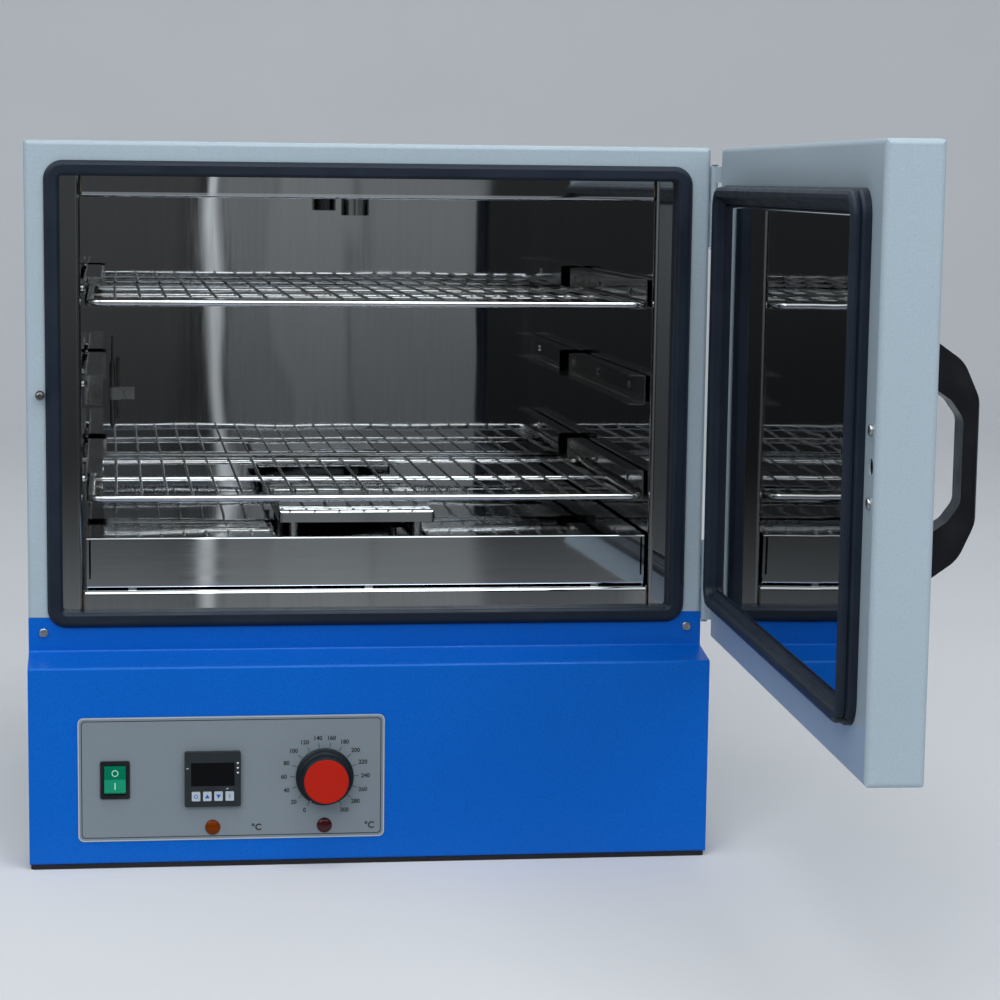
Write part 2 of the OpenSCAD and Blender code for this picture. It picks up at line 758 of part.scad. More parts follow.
module runner_studs() {
    color("silver") for (s = [0, 1], p = stud_places)
        mirror([s, 0, 0]) translate([-half_w, p[0], p[1]]) rotate([0, 90, 0]) {
            cylinder(h = runner_gap, r = rivet_r * 2);
            translate([0, 0, -rivet_tail]) cylinder(h = rivet_tail + runner_gap
                + liner_t + rivet_head / 2, r = rivet_r);
            translate([0, 0, runner_gap + liner_t])
                cylinder(h = rivet_head, r1 = rivet_r * 1.7, r2 = rivet_r);
            translate([0, 0, -rivet_tail]) cylinder(h = rivet_tail - liner_t,
                r = rivet_r * 1.7);
        }
}

// Wire shelf: a rod frame with rounded corners, a middle rod and thin wires
side_play = 1;
shelf_r = 10;
rod_r = rod_d / 2;
cross_r = rod_r * 0.85;
wire_sink = 0.8;
shelf_half = half_w - runner_gap - liner_t - side_play - rod_r;
shelf_y0 = mouth_y + shelf_front;
shelf_y1 = runner_y1 - liner_t - fit * 2 - rod_r;
module wire_shelf(level) {
    depth = shelf_y1 - shelf_y0;
    wire_z = cross_r + wire_d / 2 - wire_sink;
    pitch = 2 * shelf_half / wire_bays;
    color("silver")
        translate([0, shelf_y0, runner_z(level) + liner_t + fit + rod_r]) {
            for (y = [0, depth])
                translate([-shelf_half + shelf_r, y, 0]) rotate([0, 90, 0])
                    cylinder(h = 2 * (shelf_half - shelf_r), r = rod_r);
            translate([-shelf_half, depth / 2, 0]) rotate([0, 90, 0])
                cylinder(h = 2 * shelf_half, r = cross_r);
            for (x = [-1, 1])
                translate([x * shelf_half, shelf_r, 0]) rotate([-90, 0, 0])
                    cylinder(h = depth - 2 * shelf_r, r = rod_r);
            for (q = [[1, 1, 0], [-1, 1, 90], [-1, -1, 180], [1, -1, 270]])
                translate([q[0] * (shelf_half - shelf_r),
                        depth / 2 + q[1] * (depth / 2 - shelf_r), 0])
                    rotate([0, 0, q[2]]) rotate_extrude(angle = 90)
                        translate([shelf_r, 0]) circle(rod_r);
            for (i = [1 : wire_bays - 1])
                translate([-shelf_half + i * pitch, -rod_r * 0.6, wire_z])
                    rotate([-90, 0, 0]) cylinder(h = depth + rod_r * 1.2, r = wire_d / 2);
        }
}

collar_r = 22;
collar_top = liner_t + 1.5;
module vent_tube() {
    color("silver") translate([0, vent_y, 0]) difference() {
        union() {
            translate([0, 0, ceiling_z - vent_drop])
                cylinder(h = roof_gap + vent_drop, r = vent_d / 2);
            translate([0, 0, ceiling_z + liner_t]) cylinder(h = 1.5, r = collar_r);
        }
        translate([0, 0, ceiling_z - vent_drop - past])
            cylinder(h = roof_gap + vent_drop + 2 * past, r = vent_d / 2 - vent_wall);
    }
}

// Probes on the back wall, near the left: the safety thermostat's bulb and
// the controller's sensor, held by one clip
probe_x = -half_w + 26;
clip_up = 144;
clip_z = floor_z + clip_up;
bulb_r = 2.7;
bulb_l = 66;
capillary_r = 1;
probe_bend = 3.5;
probe_off = 4;
probe_exit = clip_z + 55;
sensor_r = 1.6;
sensor_dx = 5.4;
sensor_exit = clip_z + 34;
lead_tail = 22;
clip_screw_x = probe_x + sensor_dx + 9;

// A thin rod that rises and turns back through the wall
module probe_lead(r, z0, z1) {
    cylinder_h = z1 - probe_bend - z0;
    translate([0, 0, z0]) cylinder(h = cylinder_h, r = r);
    translate([0, probe_bend, z1 - probe_bend]) rotate([0, -90, 180])
        rotate_extrude(angle = 90) translate([probe_bend, 0]) circle(r);
    translate([0, probe_bend, z1]) rotate([-90, 0, 0])
        cylinder(h = probe_off + liner_t + lead_tail - probe_bend, r = r);
}

module thermostat_bulb() {
    color("silver") translate([probe_x, wall_y - probe_off, 0]) {
        translate([0, 0, clip_z - bulb_l / 2]) rotate_extrude()
            polygon([[0, 0], [bulb_r * 0.5, 0], [bulb_r, bulb_r], [bulb_r, bulb_l - 4],
                [capillary_r, bulb_l], [0, bulb_l]]);
        probe_lead(capillary_r, clip_z + bulb_l / 2 - 1, probe_exit);
    }
}

module control_sensor() {
    color("lightgray") translate([probe_x + sensor_dx, wall_y - probe_off, 0])
        probe_lead(sensor_r, clip_z - 24, sensor_exit);
}

module sensor_clip() {
    band_t = 0.9;
    wide = 12;
    y = wall_y - probe_off;
    color("gray") {
        difference() {
            union() {
                translate([probe_x, y, clip_z - wide / 2])
                    cylinder(h = wide, r = bulb_r + band_t);
                translate([probe_x, y - bulb_r - band_t, clip_z - wide / 2])
                    cube([sensor_dx + sensor_r + band_t, 2 * (bulb_r + band_t), wide]);
                translate([probe_x, y + bulb_r + band_t - 1, clip_z - wide / 2])
                    cube([clip_screw_x + 7 - probe_x, 1, wide]);
            }
            translate([probe_x, y, clip_z - wide]) cylinder(h = 2 * wide, r = bulb_r + run);
            translate([probe_x + sensor_dx, y, clip_z - wide])
                cylinder(h = 2 * wide, r = sensor_r + run);
            translate([clip_screw_x, y, clip_z]) rotate([-90, 0, 0])
                cylinder(h = 10, r = screw_r + fit / 2);
        }
        translate([clip_screw_x, y + bulb_r + band_t - 1, clip_z]) pan_screw(8);
    }
}

// Controls

bush_r = 5;
module thermostat_body() {
    color("gainsboro") translate([panel_x + knob_x, 0, row_h]) difference() {
        union() {
            slab(44, fascia_y + sheet + fit, fascia_y + 34, -20, 20);
            translate([0, panel_y - 1, 0]) rotate([-90, 0, 0])
                cylinder(h = 6, r = bush_r);
        }
        translate([0, panel_y - 3, 0]) rotate([-90, 0, 0])
            cylinder(h = 26, r = spindle_d / 2 + run);
    }
}

knob_gap = 1.5;
module knob_spindle() {
    color("silver") translate([panel_x + knob_x, panel_y - knob_gap - knob_h + 6, row_h])
        rotate([-90, 0, 0]) cylinder(h = knob_h + 12, r = spindle_d / 2);
}

module knob_body() {
    grip_r = grip_d / 2;
    skirt_r = skirt_d / 2;
    rim = 3;
    blend = 3;
    arc = [for (a = [0 : 15 : 90]) [grip_r + blend - blend * sin(a),
        rim + 1 + blend - blend * cos(a)]];
    color("black") translate([panel_x + knob_x, panel_y - knob_gap, row_h])
        rotate([90, 0, 0]) difference() {
            rotate_extrude($fn = 96) polygon(concat([[0, 0], [skirt_r, 0], [skirt_r, rim - 1],
                [skirt_r - 1, rim]], arc, [[grip_r, knob_h - 0.8], [grip_r - 0.8, knob_h],
                [0, knob_h]]));
            translate([0, 0, knob_h - cap_t]) cylinder(h = 2 * cap_t, r = cap_r + fit / 3);
            translate([0, 0, -past]) cylinder(h = knob_h - 5, r = spindle_d / 2);
            translate([0, 0, -past]) cylinder(h = 2.5, r = bush_r + 1);
        }
}

cap_t = 1.6;
cap_r = grip_d / 2 - 1.1;
module knob_cap() {
    color("red") translate([panel_x + knob_x, panel_y - knob_gap - knob_h + cap_t, row_h])
        rotate([90, 0, 0]) rotate_extrude($fn = 96)
            polygon([[0, 0], [cap_r, 0], [cap_r, cap_t], [cap_r - 0.6, cap_t + 0.6],
                [0, cap_t + 0.6]]);
}

pivot_in = 3;
rocker_r = bezel_h / 2 - 3.8;
rocker_w = bezel_w - 7;
rocker_y = panel_y - 2 + pivot_in;
module rocker_housing() {
    body_hh = bezel_h - 3.2;
    color("black") translate([panel_x + rocker_x, 0, row_h]) difference() {
        union() {
            translate([0, panel_y - 2, 0]) along_y(2) rounded_rect(bezel_w, bezel_h, 1.5);
            translate([0, panel_y - past, 0]) along_y(24)
                square([bezel_w - 3.2, body_hh], center = true);
        }
        slab(rocker_w + 2 * fit, panel_y - 3, rocker_y + 10, -rocker_r - fit, rocker_r + fit);
        translate([-rocker_w / 2 - 1.8, rocker_y, 0]) rotate([0, 90, 0])
            cylinder(h = rocker_w + 3.6, r = 1.2 + run);
    }
}

module power_rocker() {
    tip = 60;
    heel = tip + 7 * 6;
    shape = concat([[4.2, 0]],
        [for (a = [tip : 6 : heel]) rocker_r * [cos(a), sin(a)]], [[-4, 0]],
        [for (a = [-heel : 6 : -tip]) rocker_r * [cos(a), sin(a)]]);
    color("green") translate([panel_x + rocker_x, rocker_y, row_h])
        rotate([-rocker_swing / 2, 0, 0]) {
            along_x(rocker_w) mirror([1, 0]) polygon(shape);
            translate([-rocker_w / 2 - 1.5, 0, 0]) rotate([0, 90, 0])
                cylinder(h = rocker_w + 3, r = 1.2);
        }
}

window_w = controller_w * 0.77;
window_h = controller_w * 0.42;
window_up = controller_w * 0.09;
button_z = row_h - controller_w * 0.304;
button_out = 1.2;
face_y = panel_y - controller_t;
case_depth = 80;
function button_x(i) = panel_x + controller_x + (i - 1.5) * button_pitch;
module controller_case() {
    color("darkslategray") difference() {
        union() {
            translate([panel_x + controller_x, face_y, row_h]) along_y(controller_t)
                rounded_rect(controller_w, controller_w, 1.5);
            translate([panel_x + controller_x, panel_y - past, row_h]) along_y(case_depth)
                square([cut_w, cut_w], center = true);
        }
        translate([panel_x + controller_x, face_y - past, row_h + window_up])
            along_y(past + 1) square([window_w + fit, window_h + fit], center = true);
        for (i = [0 : 3])
            translate([button_x(i), face_y - past, button_z]) along_y(past + 4)
                square([button_w + 2 * fit, button_h + 2 * fit], center = true);
    }
}

module controller_window() {
    color("black") translate([panel_x + controller_x, face_y + 0.3, row_h + window_up])
        along_y(0.7) square([window_w, window_h], center = true);
}

module button(i) {
    color("lightgray") translate([button_x(i), face_y - button_out, button_z])
        along_y(button_out + 2.4) rounded_rect(button_w, button_h, 0.8);
}

lamp_body_r = 5;
module lamp_bodies() {
    color("gainsboro") for (x = [controller_x, knob_x])
        translate([panel_x + x, panel_y, lamp_h]) rotate([-90, 0, 0])
            cylinder(h = 26, r = lamp_body_r);
}

module lamp_lens(x, tint) {
    r = lamp_d / 2;
    color(tint) translate([panel_x + x, panel_y, lamp_h]) rotate([90, 0, 0])
        rotate_extrude() polygon(concat([[0, 0], [r, 0], [r, 1]],
            [for (a = [0 : 15 : 90]) [(r - 0.6) * cos(a), 1 + 2.2 * sin(a)]]));
}

// Hinges, on the right-hand sides of the cabinet and the door

hinge_x = body_w / 2 + knuckle_r;
axis_y = front_y - hinge_y;
door_low = ledge_z + door_lift;
door_h = roof_z - door_low;
hinge_zs = [door_low + hinge_end + hinge_l / 2, roof_z - hinge_end - hinge_l / 2];
knuckles = 5;
knuckle_l = hinge_l / knuckles;
leaf_screw_in = 7;
leaf_screw_r = 1.6;
leaf_screw_zs = [-hinge_l * 0.3, hinge_l * 0.3];
door_face = front_y - door_gap;

// A leaf whose knuckles are those with the given remainder: the plate starts
// at y0 from the pin and runs to y1
module hinge_leaf(z, odd, y0, y1) {
    lift = 0.15;
    color("lightsteelblue") translate([hinge_x, axis_y, z - hinge_l / 2]) difference() {
        union() {
            for (i = [0 : knuckles - 1]) if (i % 2 == odd)
                translate([0, 0, i * knuckle_l + lift]) {
                    cylinder(h = knuckle_l - 2 * lift, r = knuckle_r);
                    translate([-knuckle_r, min(0, y1), 0])
                        cube([leaf_t, abs(y1) - 1, knuckle_l - 2 * lift]);
                }
            translate([-knuckle_r, min(y0, y1), 0])
                cube([leaf_t, abs(y1 - y0), hinge_l]);
        }
        translate([0, 0, -past]) cylinder(h = hinge_l + 2 * past, r = pin_r + run);
        for (s = leaf_screw_zs)
            translate([-knuckle_r - past, y1 - sign(y1) * leaf_screw_in, hinge_l / 2 + s])
                rotate([0, 90, 0]) cylinder(h = leaf_t + 2 * past, r = leaf_screw_r + fit / 2);
    }
}

leaf_clear = knuckle_r + 1;
module cabinet_leaf(z) {
    hinge_leaf(z, 1, leaf_clear + hinge_y, leaf_w + hinge_y);
}
module door_leaf(z) {
    door_pose() hinge_leaf(z, 0, -leaf_clear - door_gap + hinge_y,
        -leaf_w - door_gap + hinge_y);
}

module hinge_pins() {
    color("silver") door_pose() for (z = hinge_zs)
        translate([hinge_x, axis_y, z - hinge_l / 2 - 0.5]) {
            cylinder(h = hinge_l + 1, r = pin_r);
            for (t = [-1, hinge_l + 1]) translate([0, 0, t]) cylinder(h = 1, r = knuckle_r);
        }
}

// Countersunk hinge screw along -X
module leaf_screw() {
    rotate([0, -90, 0]) {
        cylinder(h = 7, r = leaf_screw_r);
        translate([0, 0, -1.2]) cylinder(h = 1.2, r1 = leaf_screw_r * 1.2, r2 = leaf_screw_r * 1.7);
    }
}
module hinge_cabinet_screws() {
    color("silver") for (z = hinge_zs, s = leaf_screw_zs)
        translate([body_w / 2 + leaf_t, front_y + leaf_w - leaf_screw_in, z + s])
            leaf_screw();
}
module hinge_door_screws() {
    color("silver") door_pose() for (z = hinge_zs, s = leaf_screw_zs)
        translate([body_w / 2 + leaf_t, door_face - leaf_w + leaf_screw_in, z + s])
            leaf_screw();
}

// Door, drawn closed and swung open about the hinge pins

module door_pose() {
    translate([hinge_x, axis_y, 0]) rotate([0, 0, door_open])
        translate([-hinge_x, -axis_y, 0]) children();
}

seal_half = body_w / 2 - door_seal_x;
seal_low = door_low + door_seal_low;
seal_top = roof_z - door_seal_top;
opening_in = 10;
window_half = seal_half - door_seal_w - opening_in;
window_low = seal_low + door_seal_w + opening_in;
window_top = seal_top - door_seal_w - opening_in;
handle_mid_x = -body_w / 2 + handle_x;
handle_mid_z = (door_low + roof_z) / 2;
handle_leg = 32;
handle_pitch = handle_l - handle_leg;
stud_x = -body_w / 2 + catch_x;
stud_z = handle_mid_z;
stud_r = 3;
door_back = door_face - door_t;
module door_skin() {
    color("lightsteelblue") door_pose() difference() {
        translate([0, door_back, door_low]) soft_box(body_w, door_t, door_h, fold_r);
        translate([0, door_back + sheet, door_low + sheet])
            soft_box(body_w - 2 * sheet, door_t - 2 * sheet, door_h - 2 * sheet, fold_r - sheet);
        slab(2 * window_half, door_face - 2 * sheet, door_face + past, window_low, window_top);
        translate([stud_x, door_face - 2 * sheet, stud_z])
            rotate([-90, 0, 0]) cylinder(h = 4 * sheet, r = catch_d / 2);
        for (s = [-1, 1]) {
            translate([stud_x, door_face - 2 * sheet, stud_z + s * catch_pitch / 2])
                rotate([-90, 0, 0]) cylinder(h = 4 * sheet, r = screw_r + fit / 2);
            translate([handle_mid_x, door_back - past, handle_mid_z + s * handle_pitch / 2])
                rotate([-90, 0, 0]) cylinder(h = 4 * sheet, r = screw_r + fit / 2);
        }
        for (z = hinge_zs, s = leaf_screw_zs)
            translate([body_w / 2 + past, door_face - leaf_w + leaf_screw_in, z + s])
                rotate([0, -90, 0]) cylinder(h = 4 * sheet, r = leaf_screw_r + fit / 2);
    }
}

// Mirror-finished inner panel: a shallow tray that fills the seal's ring
module door_inner_panel() {
    w = 2 * (seal_half - door_seal_w - fit);
    low = seal_low + door_seal_w + fit;
    high = seal_top - door_seal_w - fit - low;
    r = 3;
    color("silver") door_pose() difference() {
        translate([0, door_face, low]) intersection() {
            translate([0, -2 * r, 0]) soft_box(w, panel_proud + 2 * r, high, r);
            slab(w, 0, panel_proud, 0, high);
        }
        translate([0, door_face - past, low + liner_t])
            slab(w - 2 * liner_t - 4, 0, panel_proud + past - liner_t, 2,
                high - 2 * liner_t - 2);
    }
}

// Door seal: a tall section with a bead at its foot and a rounded lip above
door_seal_h = door_gap + flange_recess - 0.5;
module door_seal() {
    w = door_seal_w;
    h = door_seal_h;
    section = [[0, 0], [w, 0], [w, h * 0.34], [w - 1, h * 0.46], [w - 2.6, h * 0.52],
        [w - 1.8, h * 0.6], [w - 1.4, h * 0.74], [w - 2.4, h * 0.9], [w - 4.6, h],
        [w - 7.4, h], [w - 9.6, h * 0.9], [w - 10.8, h * 0.72], [w - 11.4, h * 0.5],
        [2, h * 0.3], [0.4, h * 0.26], [0, h * 0.2]];
    inner_w = 2 * (seal_half - w);
    inner_h = seal_top - seal_low - 2 * w;
    color("midnightblue") door_pose()
        translate([0, door_face, (seal_low + seal_top) / 2]) rotate([-90, 0, 0])
            difference() {
                ring(inner_w, inner_h, door_seal_r - w, section);
                translate([-inner_w / 2, inner_h / 2, h * 0.35]) rotate([0, 0, 135])
                    linear_extrude(h) polygon([[w * 0.55, 0], [2 * w, -4], [2 * w, 4]]);
            }
}

module door_insulation() {
    gap = 1;
    color("khaki") door_pose() difference() {
        slab(body_w - 2 * sheet - 2 * gap, door_back + sheet + gap, door_face - sheet - gap,
            door_low + sheet + gap, roof_z - sheet - gap);
        slab_box([-body_w / 2, door_back, stud_z - catch_body_h / 2 - 2],
            [catch_x * 2 + 6, door_t, catch_body_h + 4]);
        for (s = [-1, 1])
            translate([handle_mid_x, door_back, handle_mid_z + s * handle_pitch / 2])
                rotate([-90, 0, 0]) cylinder(h = 20, r = 7);
        for (z = hinge_zs)
            slab_box([body_w / 2 - 12, door_back, z - hinge_l / 2], [20, door_t, hinge_l]);
    }
}

module slab_box(corner, size) {
    translate(corner) cube(size);
}

// Handle: a bridge with thick legs that lean in to a slimmer grip
module door_handle() {
    l = handle_l / 2;
    grip = handle_out - grip_t;
    outer = bend_run([[0, -l], [handle_out * 0.7, -l + 20.5], [handle_out, -l + 48],
        [handle_out, l - 48], [handle_out * 0.7, l - 20.5], [0, l]], 25);
    inner = bend_run([[0, l - handle_leg], [grip * 0.72, l - handle_leg - 15],
        [grip, l - handle_leg - 27], [grip, -l + handle_leg + 27],
        [grip * 0.72, -l + handle_leg + 15], [0, -l + handle_leg]], 12);
    half = handle_w / 2;
    color("black") door_pose()
        translate([handle_mid_x, door_back, handle_mid_z]) difference() {
            intersection() {
                rotate([0, 0, 180]) along_x(handle_w) polygon(concat(outer, inner));
                translate([0, -handle_out - past, 0]) along_y(handle_out + 2 * past)
                    rounded_rect(handle_w, handle_l, half - 0.5);
                along_z_wedge(half);
            }
            for (s = [-1, 1])
                translate([0, -14, s * handle_pitch / 2])
                    rotate([-90, 0, 0]) cylinder(h = 16, r = screw_r + run);
        }
}
function bend_run(p, r) = rounded_path(p, r, 8);

// Keeps the grip narrower than the feet and rounds its outer edges
module along_z_wedge(half) {
    r = 5;
    translate([0, 0, -handle_l]) linear_extrude(2 * handle_l) {
        polygon([[-half, past], [-half, -6], [-half + 2, -handle_out + r],
            [half - 2, -handle_out + r], [half, -6], [half, past]]);
        for (s = [-1, 1]) translate([s * (half - 2 - r), -handle_out + r]) circle(r);
        translate([-half + 2 + r, -handle_out]) square([2 * (half - 2 - r), r + 1]);
    }
}

module door_screws() {
    color("silver") door_pose() {
        for (s = [-1, 1]) {
            translate([stud_x, door_face, stud_z + s * catch_pitch / 2])
                rotate([0, 0, 180]) pan_screw(9);
            translate([handle_mid_x, door_back + sheet, handle_mid_z + s * handle_pitch / 2])
                rotate([0, 0, 180]) pan_screw(12);
        }
    }
}

// Catch: a block behind the door's inner face, with a sprung plunger that
// drops behind the head of the stud
catch_body_h = catch_pitch + 14;
catch_block = 16;
plunger_y = door_face - 5;
plunger_r = 2;
module catch_body() {
    y1 = door_face - sheet;
    color("dimgray") door_pose() difference() {
        slab_box([stud_x - 8, y1 - catch_block, stud_z - catch_body_h / 2],
            [20, catch_block, catch_body_h]);
        translate([stud_x, y1 - 12, stud_z]) rotate([-90, 0, 0])
            cylinder(h = 14, r = catch_d / 2);
        for (s = [-1, 1])
            translate([stud_x, y1 - 12, stud_z + s * catch_pitch / 2]) rotate([-90, 0, 0])
                cylinder(h = 14, r = screw_r + run);
        translate([stud_x, plunger_y, stud_z]) rotate([0, 90, 0])
            cylinder(h = 20, r = plunger_r + run);
    }
}

neck_r = 2;
head_r = 3.4;
module catch_plunger() {
    x0 = stud_x + neck_r + fit;
    color("silver") door_pose() translate([x0, plunger_y, stud_z]) rotate([0, 90, 0])
        rotate_extrude() polygon([[0, 0], [plunger_r * 0.5, 0], [plunger_r, 1.2],
            [plunger_r, 9], [0, 9]]);
}

module catch_stud() {
    reach = door_gap + 9;
    collar = stud_r + 1;
    neck = [plunger_off - 2.4, plunger_off + 2.4];
    color("silver") translate([stud_x, front_y, stud_z]) rotate([90, 0, 0])
        rotate_extrude() polygon([[0, -4], [stud_r, -4], [stud_r, 0], [collar, 0],
            [collar, 1.2], [stud_r, 1.2], [stud_r, neck[0]], [neck_r, neck[0] + 0.4],
            [neck_r, neck[1]], [head_r, neck[1] + 0.6], [head_r, reach - 1],
            [head_r - 1.2, reach], [0, reach]]);
}
plunger_off = door_gap + 5;

outer_casing();
front_frame();
rear_panel();
base_plate();
control_fascia();
label_plate();
chamber_liner();
chamber_insulation();
cabinet_seal();
false_floor();
air_baffle();
baffle_spacers();
heating_elements();
runner(0, 0);  // left_lower_runner
runner(0, 1);  // left_middle_runner
runner(0, 2);  // left_upper_runner
runner(1, 0);  // right_lower_runner
runner(1, 1);  // right_middle_runner
runner(1, 2);  // right_upper_runner
runner_studs();
vent_tube();
thermostat_bulb();
control_sensor();
sensor_clip();
thermostat_body();
rocker_housing();
controller_case();
controller_window();
lamp_bodies();
lamp_lens(controller_x, "darkorange");  // heat_lamp_lens
lamp_lens(knob_x, "maroon");  // over_temp_lamp_lens
catch_stud();
cable_gland();
base_strip();
case_screws();
cabinet_leaf(hinge_zs[1]);  // upper_hinge_cabinet_leaf
cabinet_leaf(hinge_zs[0]);  // lower_hinge_cabinet_leaf
hinge_cabinet_screws();
door_skin();
door_inner_panel();
door_seal();
door_insulation();
door_handle();
door_screws();
catch_body();
door_leaf(hinge_zs[1]);  // upper_hinge_door_leaf
door_leaf(hinge_zs[0]);  // lower_hinge_door_leaf
hinge_pins();
hinge_door_screws();
catch_plunger();
wire_shelf(2);  // upper_shelf
wire_shelf(0);  // lower_shelf
power_rocker();
knob_body();
knob_cap();
knob_spindle();
button(0);  // menu_button
button(1);  // up_button
button(2);  // down_button
button(3);  // program_button
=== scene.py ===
import json
import math

import bmesh
import bpy
from mathutils import Matrix, Vector


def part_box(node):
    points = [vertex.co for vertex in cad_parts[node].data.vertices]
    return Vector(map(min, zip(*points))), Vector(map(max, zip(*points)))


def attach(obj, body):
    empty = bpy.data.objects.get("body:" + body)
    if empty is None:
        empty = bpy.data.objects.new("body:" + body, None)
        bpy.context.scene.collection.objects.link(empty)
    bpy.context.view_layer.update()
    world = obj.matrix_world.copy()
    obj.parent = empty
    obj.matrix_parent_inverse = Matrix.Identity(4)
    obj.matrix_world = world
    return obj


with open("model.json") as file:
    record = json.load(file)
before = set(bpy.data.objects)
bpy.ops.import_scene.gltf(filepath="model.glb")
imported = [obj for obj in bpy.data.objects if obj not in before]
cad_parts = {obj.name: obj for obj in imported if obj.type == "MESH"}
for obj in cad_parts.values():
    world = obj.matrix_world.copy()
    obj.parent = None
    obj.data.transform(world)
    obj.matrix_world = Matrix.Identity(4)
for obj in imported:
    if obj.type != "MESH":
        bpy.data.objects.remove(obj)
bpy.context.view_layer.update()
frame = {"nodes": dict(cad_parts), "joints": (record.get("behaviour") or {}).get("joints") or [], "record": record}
nodes = frame["nodes"]
MM = 0.001


# Places taken from the frame

label_low, label_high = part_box("label_plate")
knob_low, knob_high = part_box("knob_body")
joints = {joint["name"]: joint for joint in frame["joints"]}
PRINT_LIFT = 0.06 * MM
DIGIT_SHARE = 0.7  # a digit's height as a share of its font size
label_y = label_low[1] - PRINT_LIFT
knob_x = (knob_low[0] + knob_high[0]) / 2
knob_z = (knob_low[2] + knob_high[2]) / 2


# Materials are built from these small node helpers

def new_material(name):
    material = bpy.data.materials.new(name)
    material.use_nodes = True
    tree = material.node_tree
    return material, tree, tree.nodes["Principled BSDF"]


def add_node(tree, kind, inputs=None, **settings):
    made = tree.nodes.new(kind)
    for key, value in settings.items():
        setattr(made, key, value)
    for key, value in (inputs or {}).items():
        if isinstance(value, bpy.types.NodeSocket):
            tree.links.new(value, made.inputs[key])
        else:
            made.inputs[key].default_value = value
    return made


def place(tree, stretch=(1, 1, 1)):
    """Coordinates in metres on the piece, drawn out along each axis."""
    where = add_node(tree, "ShaderNodeTexCoord")
    mapping = add_node(tree, "ShaderNodeMapping", {
        "Vector": where.outputs["Object"], "Scale": stretch})
    return mapping.outputs["Vector"]


def noise(tree, scale, detail=2.0, rough=0.5, stretch=(1, 1, 1), twist=0.0):
    made = add_node(tree, "ShaderNodeTexNoise", {
        "Vector": place(tree, stretch), "Scale": scale, "Detail": detail,
        "Roughness": rough, "Distortion": twist})
    return made.outputs["Fac"]


def ramp(tree, factor, low, high, first, second):
    """Maps factor from the range low to high onto the range first to second."""
    made = add_node(tree, "ShaderNodeMapRange", {
        "Value": factor, "From Min": low, "From Max": high, "To Min": first, "To Max": second})
    return made.outputs["Result"]


def soft_step(tree, value, low, high):
    """Rises smoothly from 0 at low to 1 at high."""
    made = add_node(tree, "ShaderNodeMapRange", {
        "Value": value, "From Min": low, "From Max": high, "To Min": 0.0, "To Max": 1.0},
        interpolation_type="SMOOTHSTEP")
    return made.outputs["Result"]


def arith(tree, operation, first, second):
    made = add_node(tree, "ShaderNodeMath", {0: first, 1: second}, operation=operation)
    return made.outputs["Value"]


def blend_colour(tree, factor, first, second):
    made = add_node(tree, "ShaderNodeMix", data_type="RGBA")
    tree.links.new(factor, made.inputs["Factor"])
    for socket, value in ((made.inputs["A"], first), (made.inputs["B"], second)):
        if isinstance(value, bpy.types.NodeSocket):
            tree.links.new(value, socket)
        else:
            socket.default_value = (*value, 1.0)
    return made.outputs["Result"]


def bump(tree, shader, layers):
    """Each layer is (height, strength, distance in metres)."""
    normal = None
    for height, strength, distance in layers:
        made = add_node(tree, "ShaderNodeBump", {
            "Height": height, "Strength": strength, "Distance": distance})
        if normal is not None:
            tree.links.new(normal, made.inputs["Normal"])
        normal = made.outputs["Normal"]
    tree.links.new(normal, shader.inputs["Normal"])


def powder_coat(name, colour, light, painted_glint, grain, gloss, shine, glint=(1, 1, 1)):
    """Textured paint: a fine grain, faint clouds, and lighter specks painted in as glints where the grain would
    catch the light.
    """
    material, tree, shader = new_material(name)
    shader.inputs["Specular IOR Level"].default_value = shine
    shader.inputs["Specular Tint"].default_value = (*glint, 1.0)
    fine = noise(tree, 1100, 3.0, 0.6)
    cloud = noise(tree, 7, 3.0)
    glint_noise = noise(tree, 420, 2.0, 0.7)
    body = blend_colour(tree, ramp(tree, fine, 0.35, 0.65, 0, 1), colour, light)
    # Lighter specks at random spots: painted glints of light on the grain, not dust or wear
    glinted = blend_colour(tree, ramp(tree, glint_noise, 0.66, 0.78, 0, 0.5), body, painted_glint)
    shade = [c * 0.86 for c in colour]
    dull = blend_colour(tree, ramp(tree, cloud, 0.35, 0.7, 0, 0.22), glinted, shade)
    tree.links.new(dull, shader.inputs["Base Color"])
    tree.links.new(ramp(tree, fine, 0.3, 0.7, gloss, gloss + 0.14), shader.inputs["Roughness"])
    bump(tree, shader, [(noise(tree, 650, 3.0, 0.55), grain, 0.25 * MM), (cloud, 0.12, 1.2 * MM)])
    shader.inputs["Coat Weight"].default_value = 0.22
    shader.inputs["Coat Roughness"].default_value = 0.10
    sparkle = add_node(tree, "ShaderNodeBump", {
        "Height": noise(tree, 800, 2.0, 0.6), "Strength": grain * 1.5, "Distance": 0.3 * MM})
    tree.links.new(sparkle.outputs["Normal"], shader.inputs["Coat Normal"])
    return material


def steel(name, colour, sheen, wave, stretch=(1, 1, 1), smear=0.06):
    """Polished sheet: clear reflections bent by long shallow waves, with faint lines and
    wiped smears."""
    material, tree, shader = new_material(name)
    lines = noise(tree, 240, 4.0, 0.65, stretch)
    wipe = noise(tree, 7, 3.0, 0.55, (1, 1, 0.5), 0.8)
    darker = [c * 0.93 for c in colour]
    tint = blend_colour(tree, ramp(tree, lines, 0.3, 0.7, 0, 1), darker, colour)
    tree.links.new(tint, shader.inputs["Base Color"])
    shader.inputs["Metallic"].default_value = 1.0
    base = ramp(tree, wipe, 0.42, 0.72, sheen, sheen + smear)
    fine = ramp(tree, lines, 0.2, 0.8, -0.015, 0.015)
    mixed = add_node(tree, "ShaderNodeMath", {0: base, 1: fine}, operation="ADD", use_clamp=True)
    tree.links.new(mixed.outputs["Value"], shader.inputs["Roughness"])
    bump(tree, shader, [(noise(tree, 4.2, 1.0, 0.4, (1.3, 1.3, 0.6), 0.6), wave, 9 * MM)])
    return material


